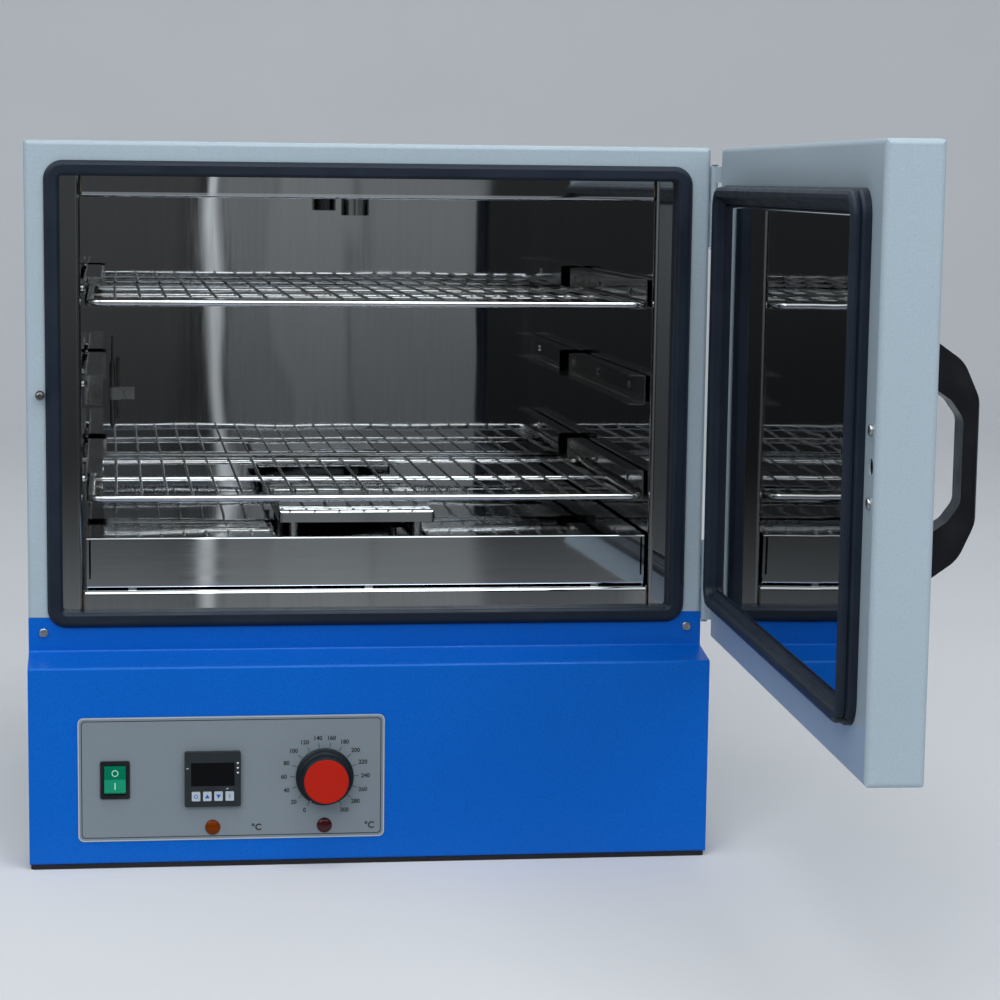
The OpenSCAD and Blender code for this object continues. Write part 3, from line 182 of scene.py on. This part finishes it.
def wire_steel(name, colour, rough):
    """Drawn or plated steel with spots, browned here and there by heat."""
    material, tree, shader = new_material(name)
    spots = noise(tree, 160, 3.0, 0.6)
    heat = noise(tree, 14, 2.0)
    tint = blend_colour(tree, ramp(tree, heat, 0.4, 0.75, 0, 0.5), colour,
        (colour[0] * 0.75, colour[1] * 0.66, colour[2] * 0.52))
    tree.links.new(tint, shader.inputs["Base Color"])
    shader.inputs["Metallic"].default_value = 1.0
    tree.links.new(ramp(tree, spots, 0.3, 0.75, rough, rough + 0.18), shader.inputs["Roughness"])
    bump(tree, shader, [(spots, 0.12, 0.1 * MM)])
    return material


def rubber(name, colour, dusty, rough):
    """Smooth rubber with a bloom of dust and shallow mould waves."""
    material, tree, shader = new_material(name)
    bloom = noise(tree, 26, 5.0, 0.65)
    grain = noise(tree, 900, 2.0)
    tint = blend_colour(tree, ramp(tree, bloom, 0.42, 0.75, 0, 0.45), colour, dusty)
    tree.links.new(tint, shader.inputs["Base Color"])
    tree.links.new(ramp(tree, bloom, 0.3, 0.7, rough - 0.08, rough + 0.12),
        shader.inputs["Roughness"])
    shader.inputs["Specular IOR Level"].default_value = 0.3
    bump(tree, shader, [(noise(tree, 45, 2.0), 0.15, 0.6 * MM), (grain, 0.15, 0.08 * MM)])
    return material


def plastic(name, colour, light, rough, grain=0.2, scale=1400, shine=0.4):
    """Moulded plastic with a spark-eroded grain."""
    material, tree, shader = new_material(name)
    fine = noise(tree, scale, 2.0, 0.6)
    wear = noise(tree, 60, 4.0, 0.6)
    tint = blend_colour(tree, ramp(tree, wear, 0.45, 0.8, 0, 0.6), colour, light)
    tree.links.new(tint, shader.inputs["Base Color"])
    tree.links.new(ramp(tree, wear, 0.3, 0.8, rough - 0.06, rough + 0.1),
        shader.inputs["Roughness"])
    shader.inputs["Specular IOR Level"].default_value = shine
    bump(tree, shader, [(fine, grain, 0.06 * MM)])
    return material


def lens(name, colour, deep, clear=0.2, glint=(1, 1, 1)):
    """Coloured lens with a ribbed inside that shows through."""
    material, tree, shader = new_material(name)
    shader.inputs["Specular IOR Level"].default_value = 0.3
    shader.inputs["Specular Tint"].default_value = (*glint, 1.0)
    ribs = add_node(tree, "ShaderNodeTexWave", {
        "Vector": place(tree), "Scale": 260.0, "Distortion": 0.6}, bands_direction="Z")
    tint = blend_colour(tree, ribs.outputs["Fac"], deep, colour)
    tree.links.new(tint, shader.inputs["Base Color"])
    shader.inputs["Roughness"].default_value = 0.16
    shader.inputs["Transmission Weight"].default_value = clear
    bump(tree, shader, [(noise(tree, 300, 2.0), 0.08, 0.05 * MM)])
    return material


def wool(name):
    """Mineral wool, its fibres laid in flat layers. Its brown is the wool's own tint darkened far below it, as
    painted shade, so the gaps where it shows stay dark.
    """
    material, tree, shader = new_material(name)
    fibres = noise(tree, 500, 6.0, 0.75, (1, 1, 4))
    # Dark browns: the wool's tint with painted shade, for the slits it is seen through
    tint = blend_colour(tree, fibres, (0.06, 0.05, 0.035), (0.16, 0.14, 0.10))
    tree.links.new(tint, shader.inputs["Base Color"])
    shader.inputs["Roughness"].default_value = 0.95
    bump(tree, shader, [(fibres, 0.8, 1.5 * MM)])
    return material


def ink(name, colour):
    """Screen-printed ink, a little uneven."""
    material, tree, shader = new_material(name)
    patchy = noise(tree, 2200, 3.0, 0.7)
    thin = [c * 0.7 + 0.05 for c in colour]
    tint = blend_colour(tree, ramp(tree, patchy, 0.4, 0.75, 0, 0.35), colour, thin)
    tree.links.new(tint, shader.inputs["Base Color"])
    tree.links.new(ramp(tree, patchy, 0.3, 0.7, 0.4, 0.55), shader.inputs["Roughness"])
    return material


def label_sheet(name):
    """Satin printed film over metal, with a fine spray in its grey."""
    material, tree, shader = new_material(name)
    spray = noise(tree, 1800, 3.0, 0.7)
    cloud = noise(tree, 12, 3.0)
    body = blend_colour(tree, ramp(tree, spray, 0.3, 0.7, 0, 1),
        (0.146, 0.180, 0.207), (0.178, 0.214, 0.242))
    tint = blend_colour(tree, ramp(tree, cloud, 0.4, 0.7, 0, 0.3), body,
        (0.140, 0.172, 0.200))
    tree.links.new(tint, shader.inputs["Base Color"])
    tree.links.new(ramp(tree, spray, 0.3, 0.7, 0.36, 0.48), shader.inputs["Roughness"])
    bump(tree, shader, [(spray, 0.10, 0.04 * MM)])
    return material


looks = {
    # In each paint the third colour is the painted glint of its specks
    "grey_paint": powder_coat("grey_paint", (0.291, 0.362, 0.413), (0.335, 0.415, 0.472),
        (0.48, 0.55, 0.60), 0.22, 0.36, 0.4),
    "blue_paint": powder_coat("blue_paint", (0.0008, 0.087, 0.430), (0.0012, 0.105, 0.50),
        (0.004, 0.17, 0.62), 0.55, 0.24, 0.4, (0.10, 0.45, 1.0)),
    "label_grey": label_sheet("label_grey"),
    "zinc_plate": steel("zinc_plate", (0.50, 0.51, 0.52), 0.40, 0.1),
    "chamber_steel": steel("chamber_steel", (0.58, 0.59, 0.60), 0.018, 0.075, (1, 1, 0.05), 0.025),
    "floor_steel": steel("floor_steel", (0.70, 0.72, 0.73), 0.025, 0.09, (0.05, 1, 1), 0.03),
    "runner_steel": steel("runner_steel", (0.58, 0.58, 0.57), 0.09, 0.15, (1, 0.05, 1)),
    "tube_steel": steel("tube_steel", (0.58, 0.58, 0.57), 0.16, 0.05, (1, 1, 0.05)),
    "mirror_steel": steel("mirror_steel", (0.54, 0.55, 0.56), 0.012, 0.05, (1, 1, 0.05), 0.02),
    "shelf_wire": wire_steel("shelf_wire", (0.70, 0.71, 0.72), 0.07),
    "fastener_steel": wire_steel("fastener_steel", (0.60, 0.62, 0.63), 0.22),
    "dark_pin": wire_steel("dark_pin", (0.20, 0.19, 0.19), 0.30),
    "element_steel": wire_steel("element_steel", (0.28, 0.24, 0.22), 0.40),
    "probe_metal": wire_steel("probe_metal", (0.16, 0.15, 0.14), 0.30),
    "clip_steel": wire_steel("clip_steel", (0.34, 0.34, 0.33), 0.32),
    "mineral_wool": wool("mineral_wool"),
    "seal_rubber": rubber("seal_rubber", (0.0065, 0.0115, 0.021), (0.015, 0.022, 0.034), 0.46),
    "strip_rubber": rubber("strip_rubber", (0.008, 0.008, 0.010), (0.02, 0.02, 0.022), 0.6),
    "handle_plastic": plastic("handle_plastic", (0.004, 0.0045, 0.006), (0.009, 0.010, 0.0125),
        0.34, 0.25, 900),
    "black_plastic": plastic("black_plastic", (0.006, 0.007, 0.009), (0.014, 0.015, 0.018), 0.36),
    "controller_plastic": plastic("controller_plastic", (0.012, 0.016, 0.019),
        (0.022, 0.026, 0.030), 0.45),
    "dark_window": plastic("dark_window", (0.002, 0.002, 0.003), (0.004, 0.004, 0.005),
        0.16, 0.02, 1400, 0.15),
    "inner_plastic": plastic("inner_plastic", (0.66, 0.63, 0.56), (0.58, 0.55, 0.48), 0.5),
    "amber_lens": lens("amber_lens", (0.170, 0.030, 0.002), (0.105, 0.016, 0.001),
        0.1, (1.0, 0.5, 0.2)),
    "red_lens": lens("red_lens", (0.075, 0.005, 0.008), (0.025, 0.002, 0.004)),
    "rocker_green": lens("rocker_green", (0.001, 0.165, 0.088), (0.001, 0.110, 0.058),
        0.0, (0.15, 1.0, 0.6)),
    "knob_black": plastic("knob_black", (0.005, 0.008, 0.012), (0.011, 0.014, 0.019),
        0.42, 0.2, 1400, 0.22),
    "knob_red": plastic("knob_red", (0.385, 0.012, 0.005), (0.35, 0.016, 0.007),
        0.46, 0.12, 1400, 0.1),
    "button_grey": plastic("button_grey", (0.36, 0.42, 0.47), (0.31, 0.36, 0.40), 0.5, 0.1),
}
white_ink = ink("white_ink", (0.72, 0.74, 0.76))
black_ink = ink("black_ink", (0.006, 0.008, 0.011))
blue_ink = ink("blue_ink", (0.012, 0.055, 0.36))
mint_ink = ink("mint_ink", (0.42, 0.72, 0.58))
pale_ink = ink("pale_ink", (0.36, 0.41, 0.45))

for part in frame["record"]["subparts"]:
    mesh = nodes[part["node"]].data
    mesh.materials.clear()
    mesh.materials.append(looks[part["material_slot"]])


# Pieces that only this script makes: printed marks, a seal's lip and a rolled hem

def put(name, mesh, material, body):
    mesh.materials.clear()
    mesh.materials.append(material)
    piece = bpy.data.objects.new(name, mesh)
    bpy.context.scene.collection.objects.link(piece)
    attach(piece, body)


def mesh_piece(name, points, faces, material, body, slot):
    mesh = bpy.data.meshes.new(name)
    mesh.from_pydata([Vector(p) for p in points], [], faces)
    mesh.validate()
    put(name, mesh, material, body)


class Marks:
    """Flat outlines gathered into one thin mesh. Each is drawn in (across, up) metres on a
    plane given by its middle, its across direction and its up direction."""

    def __init__(self, middle, across=(1, 0, 0), up=(0, 0, 1), thick=PRINT_LIFT):
        self.middle, self.across, self.up = Vector(middle), Vector(across), Vector(up)
        self.out = self.across.cross(self.up)
        self.thick = thick
        self.points, self.faces = [], []

    def spot(self, u, v, lift=0.0):
        return self.middle + self.across * u + self.up * v + self.out * lift

    def outline(self, ring):
        """A filled convex outline, listed anticlockwise as seen from the front."""
        start, n = len(self.points), len(ring)
        self.points += [self.spot(u, v, self.thick) for u, v in ring]
        self.points += [self.spot(u, v) for u, v in ring]
        self.faces.append(list(range(start, start + n)))
        self.faces.append([start + n + i for i in reversed(range(n))])
        self.walls(start, start + n, n)

    def walls(self, top, low, n):
        for i in range(n):
            j = (i + 1) % n
            self.faces.append([low + i, low + j, top + j, top + i])

    def band(self, inner, outer):
        """A closed band between two outlines with the same number of points."""
        start, n = len(self.points), len(inner)
        for lift in (self.thick, 0.0):
            self.points += [self.spot(u, v, lift) for u, v in inner]
            self.points += [self.spot(u, v, lift) for u, v in outer]
        for i in range(n):
            j = (i + 1) % n
            self.faces.append([start + i, start + n + i, start + n + j, start + j])
            self.faces.append([start + 2 * n + j, start + 3 * n + j,
                start + 3 * n + i, start + 2 * n + i])
        self.walls(start + n, start + 3 * n, n)
        for i in range(n):
            j = (i + 1) % n
            self.faces.append([start + i, start + j, start + 2 * n + j, start + 2 * n + i])

    def stroke(self, u0, v0, u1, v1, width):
        """A straight bar with square ends."""
        line = Vector((u1 - u0, v1 - v0))
        side = Vector((-line.y, line.x)).normalized() * width / 2
        self.outline([(u0 - side.x, v0 - side.y), (u1 - side.x, v1 - side.y),
            (u1 + side.x, v1 + side.y), (u0 + side.x, v0 + side.y)])

    def piece(self, name, material, body, slot):
        mesh_piece(name, self.points, self.faces, material, body, slot)


def rounded_outline(width, height, radius, steps=6):
    ring = []
    for quarter, (sx, sy) in enumerate(((1, 1), (-1, 1), (-1, -1), (1, -1))):
        for k in range(steps + 1):
            angle = math.radians(90 * (quarter + k / steps))
            ring.append((sx * (width / 2 - radius) + radius * math.cos(angle),
                sy * (height / 2 - radius) + radius * math.sin(angle)))
    return ring


def circle_outline(radius, steps=32):
    return [(radius * math.cos(2 * math.pi * k / steps), radius * math.sin(2 * math.pi * k / steps))
        for k in range(steps)]


def text_piece(name, words, material, body, weight):
    """Words as one thin mesh. Each is (text, x, z, height) on the label plate."""
    whole = bmesh.new()
    for text, x, z, height in words:
        curve = bpy.data.curves.new(name, "FONT")
        curve.body = text
        curve.size = height / DIGIT_SHARE
        curve.align_x = "CENTER"
        curve.align_y = "CENTER"
        curve.extrude = PRINT_LIFT / 2
        curve.offset = weight
        curve.resolution_u = 4
        maker = bpy.data.objects.new(name, curve)
        bpy.context.scene.collection.objects.link(maker)
        bpy.context.view_layer.update()
        shown = maker.evaluated_get(bpy.context.evaluated_depsgraph_get())
        word = bpy.data.meshes.new_from_object(shown)
        word.transform(Matrix.Translation((x, label_y + PRINT_LIFT / 2, z))
            @ Matrix.Rotation(math.pi / 2, 4, "X"))
        whole.from_mesh(word)
        bpy.data.objects.remove(maker)
    mesh = bpy.data.meshes.new(name)
    whole.to_mesh(mesh)
    whole.free()
    for polygon in mesh.polygons:
        polygon.material_index = 0
    put(name, mesh, material, body)


# Label plate: a pale rim, a thin dark line inside it, the dial and its numbers

label_w = label_high[0] - label_low[0]
label_h = label_high[2] - label_low[2]
label_mid = ((label_low[0] + label_high[0]) / 2, label_low[1], (label_low[2] + label_high[2]) / 2)


def label_band(name, inner, outer, material):
    """A closed band on the label. Each side of it is (inset from the edge, corner radius)."""
    band = Marks(label_mid)
    band.band(*(rounded_outline(label_w - 2 * inset, label_h - 2 * inset, radius)
        for inset, radius in (inner, outer)))
    band.piece(name, material, "cabinet", "label_grey")


label_band("label_rim", (1.1 * MM, 4 * MM), (0.1 * MM, 5 * MM), pale_ink)
label_band("label_line", (3.6 * MM, 3 * MM), (2.9 * MM, 3.4 * MM), black_ink)

dial = Marks((knob_x, label_low[1], knob_z))
TICK_IN, TICK_OUT, TICK_W = 25.4 * MM, 29.8 * MM, 0.5 * MM
NUMBER_R, NUMBER_H, UNIT_H = 33.7 * MM, 3.6 * MM, 5.5 * MM
numbers = []
for value in range(0, 301, 20):
    angle = math.radians(value - 150)
    across, up = math.sin(angle), math.cos(angle)
    dial.stroke(across * TICK_IN, up * TICK_IN, across * TICK_OUT, up * TICK_OUT, TICK_W)
    # Numbers beside the knob stand further out, the more so the longer they are
    reach = NUMBER_R + abs(across) * (1.8 * MM if value >= 100 else 1.3 * MM)
    numbers.append((str(value), knob_x + across * reach, knob_z + up * reach, NUMBER_H))
dial.piece("dial_ticks", black_ink, "cabinet", "label_grey")
text_piece("dial_numbers", numbers, black_ink, "cabinet", 0.15 * MM)
unit_z = label_low[2] + 10.0 * MM
units = [("°C", label_low[0] + x, unit_z, UNIT_H) for x in (152.3 * MM, 250 * MM)]
text_piece("unit_marks", units, black_ink, "cabinet", 0.24 * MM)


# Knob: a white pointer on its skirt, at the dial's zero at rest

SKIRT_FACE = 3.02 * MM  # from the knob's back, just proud of the skirt
POINTER_IN, POINTER_OUT, POINTER_W = 20.6 * MM, 24.4 * MM, 1.0 * MM
zero = math.radians(-150)
pointer_up = Vector((math.sin(zero), 0, math.cos(zero)))
pointer = Marks((knob_x, knob_high[1] - SKIRT_FACE, knob_z), pointer_up.cross(Vector((0, 1, 0))),
    pointer_up, 0.1 * MM)
pointer.stroke(0, POINTER_IN, 0, POINTER_OUT, POINTER_W)
pointer.piece("knob_pointer", white_ink, "knob", "knob_black")


# Controller: pale marks on its bezel and a blue sign on each of its keys

def box_front(node):
    """The middle of the front of a node's box."""
    low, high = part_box(node)
    return (low[0] + high[0]) / 2, low[1], (low[2] + high[2]) / 2


bezel = Marks(box_front("controller_case"))
MARK_X, MARK_Z, MARK_STEP = 21.4 * MM, 13.0 * MM, 4.2 * MM
MARK_HALF, MARK_H = 1.1 * MM, 1.6 * MM
for k in range(3):
    foot = MARK_Z - k * MARK_STEP
    bezel.outline([(MARK_X - MARK_HALF, foot + MARK_H), (MARK_X, foot),
        (MARK_X + MARK_HALF, foot + MARK_H)])
for x, z in ((-21.6 * MM, 9.8 * MM), (12.5 * MM, -8.2 * MM)):
    bezel.stroke(x - 0.9 * MM, z - 0.3 * MM, x + 0.9 * MM, z + 0.3 * MM, 0.5 * MM)
bezel.piece("controller_marks", white_ink, "cabinet", "controller_plastic")

for key in ("menu", "program"):
    sign = Marks(box_front(key + "_button"))
    if key == "menu":
        sign.band(circle_outline(1.2 * MM), circle_outline(1.8 * MM))
    else:
        sign.stroke(0, -1.8 * MM, 0, 1.8 * MM, 0.7 * MM)
    sign.piece(key + "_mark", blue_ink, key + "_key", "button_grey")

for key, turn in (("up", 1), ("down", -1)):
    arrow = Marks(box_front(key + "_button"))
    tip, foot, half = 2.0 * MM * turn, -1.6 * MM * turn, 2.0 * MM
    ring = [(-half, foot), (half, foot), (0, tip)]
    arrow.outline(ring if turn > 0 else list(reversed(ring)))
    arrow.piece(key + "_arrow", blue_ink, key + "_key", "button_grey")


# Rocker: a pale ring on its upper half and a bar on its lower half

REST_TILT = math.radians(-10)
VALLEY, TIP_Y, TIP_Z = Vector((0, -4.2 * MM, 0)), -6.3 * MM, 10.9 * MM
rocker_pos = Vector(joints["rocker_tilt"]["pos_m"])
rest_tilt = Matrix.Rotation(REST_TILT, 3, "X")
for name, side in (("rocker_ring", 1), ("rocker_bar", -1)):
    tip = Vector((0, TIP_Y, side * TIP_Z))
    slope = rest_tilt @ ((tip - VALLEY) * side).normalized()
    middle = rocker_pos + rest_tilt @ (VALLEY + (tip - VALLEY) * 0.5)
    mark = Marks(middle, (1, 0, 0), slope, 0.08 * MM)
    if side > 0:
        mark.band(circle_outline(2.2 * MM), circle_outline(2.85 * MM))
    else:
        mark.stroke(0, -2.9 * MM, 0, 2.9 * MM, 0.7 * MM)
    mark.piece(name, mint_ink, "rocker", "rocker_green")


# Cabinet seal: the thin lip that covers the front frame's return inside the mouth

def loft(rings, closed=False):
    """Points and faces of a skin over rings with as many (x, y, z) points each. It joins the
    last ring to the first when closed, and is capped otherwise."""
    count, n = len(rings), len(rings[0])
    points = [point for ring in rings for point in ring]
    faces = []
    for k in range(count if closed else count - 1):
        a, b = k * n, (k + 1) % count * n
        faces += [[a + i, b + i, b + (i + 1) % n, a + (i + 1) % n] for i in range(n)]
    if not closed:
        faces.append(list(range(n)))
        faces.append([(count - 1) * n + i for i in reversed(range(n))])
    return points, faces


SEAL_W, MOUTH_DEPTH, MOUTH_R = 12.5 * MM, 8.0 * MM, 1.2 * MM
LIP_T, LIP_BITE, LIP_END = 0.55 * MM, 0.05 * MM, 0.3 * MM
LIP_PROUD, LIP_BEVEL = 3.0 * MM, 2.4 * MM
seal_low, seal_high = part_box("cabinet_seal")
frame_face = seal_high[1]
mouth_w = seal_high[0] - seal_low[0] - 2 * SEAL_W
mouth_h = seal_high[2] - seal_low[2] - 2 * SEAL_W
mouth_mid = (seal_low[2] + seal_high[2]) / 2
lip_back = frame_face + MOUTH_DEPTH - LIP_END
lip_outlines = []
for out, y in ((LIP_BITE, frame_face - LIP_PROUD), (LIP_BITE, lip_back),
        (-LIP_T, lip_back), (-LIP_T, frame_face - LIP_BEVEL)):
    lip_outlines.append([(x, y, mouth_mid + z)
        for x, z in rounded_outline(mouth_w + 2 * out, mouth_h + 2 * out, MOUTH_R)])
mesh_piece("seal_lip", *loft([list(section) for section in zip(*lip_outlines)], closed=True),
    looks["seal_rubber"], "cabinet", "seal_rubber")


# False floor: the rolled hem under its apron, close above the chamber's floor

def folded_strip(across, outline, thick):
    """A thin sheet drawn along X between two positions, through (y, z) points."""
    back = []
    for i, (y, z) in enumerate(outline):
        y0, z0 = outline[max(i - 1, 0)]
        y1, z1 = outline[min(i + 1, len(outline) - 1)]
        size = math.hypot(y1 - y0, z1 - z0)
        back.append((y + (z0 - z1) / size * thick, z + (y1 - y0) / size * thick))
    ring = outline + back[::-1]
    return loft([[(x, y, z) for y, z in ring] for x in across])


HEM_TOP, HEM_LOW, HEM_R, HEM_DEPTH = 9.5 * MM, 1.7 * MM, 1.6 * MM, 5.0 * MM
HEM_T, HEM_PROUD, HEM_END = 0.6 * MM, 0.06 * MM, 0.3 * MM
floor_low, floor_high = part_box("false_floor")
hem_y, hem_z = floor_low[1] - HEM_PROUD, floor_low[2] + HEM_LOW
hem_line = [(hem_y, floor_low[2] + HEM_TOP)]
hem_line += [(hem_y + HEM_R - HEM_R * math.cos(a), hem_z + HEM_R - HEM_R * math.sin(a))
    for a in (math.radians(15 * k) for k in range(7))]
hem_line.append((hem_y + HEM_DEPTH, hem_z))
mesh_piece("apron_hem",
    *folded_strip((floor_low[0] + HEM_END, floor_high[0] - HEM_END), hem_line, HEM_T),
    looks["floor_steel"], "cabinet", "floor_steel")


# Floor and backdrop: one pale sheet that curves up behind

def pale_stage():
    """Pale matt paint. Polished metal sees the dim room past it, except close to the object
    and behind it."""
    material, tree, shader = new_material("pale_stage")
    tint = blend_colour(tree, noise(tree, 2.5, 3.0), (0.60, 0.62, 0.64), (0.64, 0.66, 0.68))
    tree.links.new(tint, shader.inputs["Base Color"])
    shader.inputs["Roughness"].default_value = 0.85
    path = add_node(tree, "ShaderNodeLightPath")
    split = add_node(tree, "ShaderNodeSeparateXYZ", {"Vector": place(tree)})
    far = ramp(tree, split.outputs["Y"], -0.30, -0.42, 0, 1)
    through = arith(tree, "MULTIPLY", path.outputs["Is Glossy Ray"], far)
    clear = add_node(tree, "ShaderNodeBsdfTransparent")
    mixed = add_node(tree, "ShaderNodeMixShader", {
        0: through, 1: shader.outputs["BSDF"], 2: clear.outputs["BSDF"]})
    tree.links.new(mixed.outputs["Shader"], tree.nodes["Material Output"].inputs["Surface"])
    return material


STAGE_HALF, STAGE_FRONT, STAGE_BACK, STAGE_BEND, STAGE_TOP = 14.0, -14.0, 6.0, 2.4, 8.0
BEND_STEPS = 16
bend_start = STAGE_BACK - STAGE_BEND
profile = [(STAGE_FRONT, 0.0), (bend_start, 0.0)]
profile += [(bend_start + STAGE_BEND * math.sin(a), STAGE_BEND - STAGE_BEND * math.cos(a))
    for a in (math.radians(90 * k / BEND_STEPS) for k in range(1, BEND_STEPS + 1))]
profile.append((STAGE_BACK, STAGE_TOP))
points = [(x, y, z) for y, z in profile for x in (-STAGE_HALF, STAGE_HALF)]
faces = [(2 * i, 2 * i + 1, 2 * i + 3, 2 * i + 2) for i in range(len(profile) - 1)]
sheet_mesh = bpy.data.meshes.new("backdrop")
sheet_mesh.from_pydata(points, [], faces)
sheet_mesh.materials.append(pale_stage())
for polygon in sheet_mesh.polygons:
    polygon.use_smooth = True
backdrop = bpy.data.objects.new("backdrop", sheet_mesh)
bpy.context.scene.collection.objects.link(backdrop)


# Light: three soft boxes and a plain world, and for polished metal a dim room to mirror

def soft_box(name, place_at, aim_at, width, height, power):
    data = bpy.data.lights.new(name, "AREA")
    data.shape = "RECTANGLE"
    data.size, data.size_y = width, height
    data.energy = power
    lamp = bpy.data.objects.new(name, data)
    bpy.context.scene.collection.objects.link(lamp)
    lamp.location = place_at
    lamp.rotation_euler = (Vector(aim_at) - Vector(place_at)).to_track_quat("-Z", "Y").to_euler()
    lamp.visible_glossy = False


soft_box("key", (-2.2, -6.2, 4.3), (0, 0, 0.35), 4.0, 3.2, 196)
soft_box("right_fill", (2.8, -5.8, 3.0), (0, 0, 0.35), 3.2, 3.2, 108)
soft_box("top_fill", (0.1, -1.3, 3.6), (0.0, -0.2, 0.3), 2.8, 2.2, 64)

world = bpy.data.worlds.new("studio")
world.use_nodes = True
bpy.context.scene.world = world
sky = world.node_tree
background = sky.nodes["Background"]
direction = add_node(sky, "ShaderNodeTexCoord").outputs["Generated"]
split = add_node(sky, "ShaderNodeSeparateXYZ", {"Vector": direction})
across, height = split.outputs["X"], split.outputs["Z"]


def panel(tree, value, start, end, edge, level):
    """A light panel of the given level between two directions, with soft edges."""
    rise = soft_step(tree, value, start - edge, start + edge)
    fall = soft_step(tree, value, end - edge, end + edge)
    return arith(tree, "MULTIPLY", arith(tree, "SUBTRACT", rise, fall), level)


# What polished metal sees: a dim room with upright light panels, and long lamps overhead.
# Each panel is (start, end, softness, level) along the direction's X.
ROOM_LEVEL = 0.018
PANELS = (
    (-0.07, 0.028, 0.006, 0.022), (0.0345, 0.0395, 0.002, 0.50), (0.042, 0.062, 0.003, 0.100),
    (0.062, 0.088, 0.002, 0.122), (0.089, 0.140, 0.003, 0.108), (0.190, 0.320, 0.004, 0.075),
    (-0.335, -0.26, 0.012, 0.070), (-0.90, -0.36, 0.03, 0.09))
room = ROOM_LEVEL
for start, end, edge, level in PANELS:
    room = arith(sky, "ADD", panel(sky, across, start, end, edge, level), room)
horizon = arith(sky, "ADD", arith(sky, "MULTIPLY", soft_step(sky, height, -0.10, 0.0), 0.8), 1.0)
room = arith(sky, "MULTIPLY", room, horizon)
brighter = arith(sky, "MULTIPLY", room, 6.0)
upper = arith(sky, "MULTIPLY", soft_step(sky, height, 0.25, 0.60), brighter)
far_lamp = panel(sky, height, 0.66, 0.92, 0.05, 5.0)
near_lamp = panel(sky, height, 0.40, 0.52, 0.02, 6.0)
lamp_ends = arith(sky, "ADD", panel(sky, across, 0.0, 0.24, 0.04, 0.7), 0.3)
lit = arith(sky, "MULTIPLY", arith(sky, "ADD", far_lamp, near_lamp), lamp_ends)
down = arith(sky, "MULTIPLY", height, -1.0)
below = arith(sky, "MULTIPLY", soft_step(sky, down, 0.10, 0.22), 0.26)
room = arith(sky, "ADD", arith(sky, "ADD", room, upper), arith(sky, "ADD", lit, below))
seen = add_node(sky, "ShaderNodeCombineColor", {
    "Red": arith(sky, "MULTIPLY", room, 0.90), "Green": arith(sky, "MULTIPLY", room, 0.96),
    "Blue": room})
path = add_node(sky, "ShaderNodeLightPath")
plain = blend_colour(sky, path.outputs["Is Camera Ray"], (0.40, 0.42, 0.45), (0.31, 0.33, 0.36))
tone = blend_colour(sky, path.outputs["Is Glossy Ray"], plain, seen.outputs["Color"])
sky.links.new(tone, background.inputs["Color"])
background.inputs["Strength"].default_value = 1.0
world.cycles.sampling_method = "NONE"


# Camera, as the photograph was taken

FOCAL_PX, CENTRE_X_PX, CENTRE_Y_PX, IMAGE_PX = 2645.61, 447.1, 551.5, 1000
PITCH, YAW, ROLL = -0.1396, -0.1260, -0.0105
CAMERA_AT = (-0.2204, -2.4878, 0.5892)
camera_data = bpy.data.cameras.new("camera")
camera_data.sensor_width = 36.0
camera_data.lens = FOCAL_PX / IMAGE_PX * camera_data.sensor_width
camera_data.shift_x = (IMAGE_PX / 2 - CENTRE_X_PX) / IMAGE_PX
camera_data.shift_y = (CENTRE_Y_PX - IMAGE_PX / 2) / IMAGE_PX
camera_data.clip_end = 50
camera = bpy.data.objects.new("camera", camera_data)
bpy.context.scene.collection.objects.link(camera)
turned = (Matrix.Rotation(YAW, 3, "Z") @ Matrix.Rotation(PITCH, 3, "X")
    @ Matrix.Rotation(ROLL, 3, "Y"))
axes = Matrix([turned @ Vector(axis) for axis in ((1, 0, 0), (0, 0, 1), (0, -1, 0))]).transposed()
camera.matrix_world = Matrix.Translation(CAMERA_AT) @ axes.to_4x4()
bpy.context.scene.camera = camera
bpy.context.scene.view_settings.view_transform = "Standard"
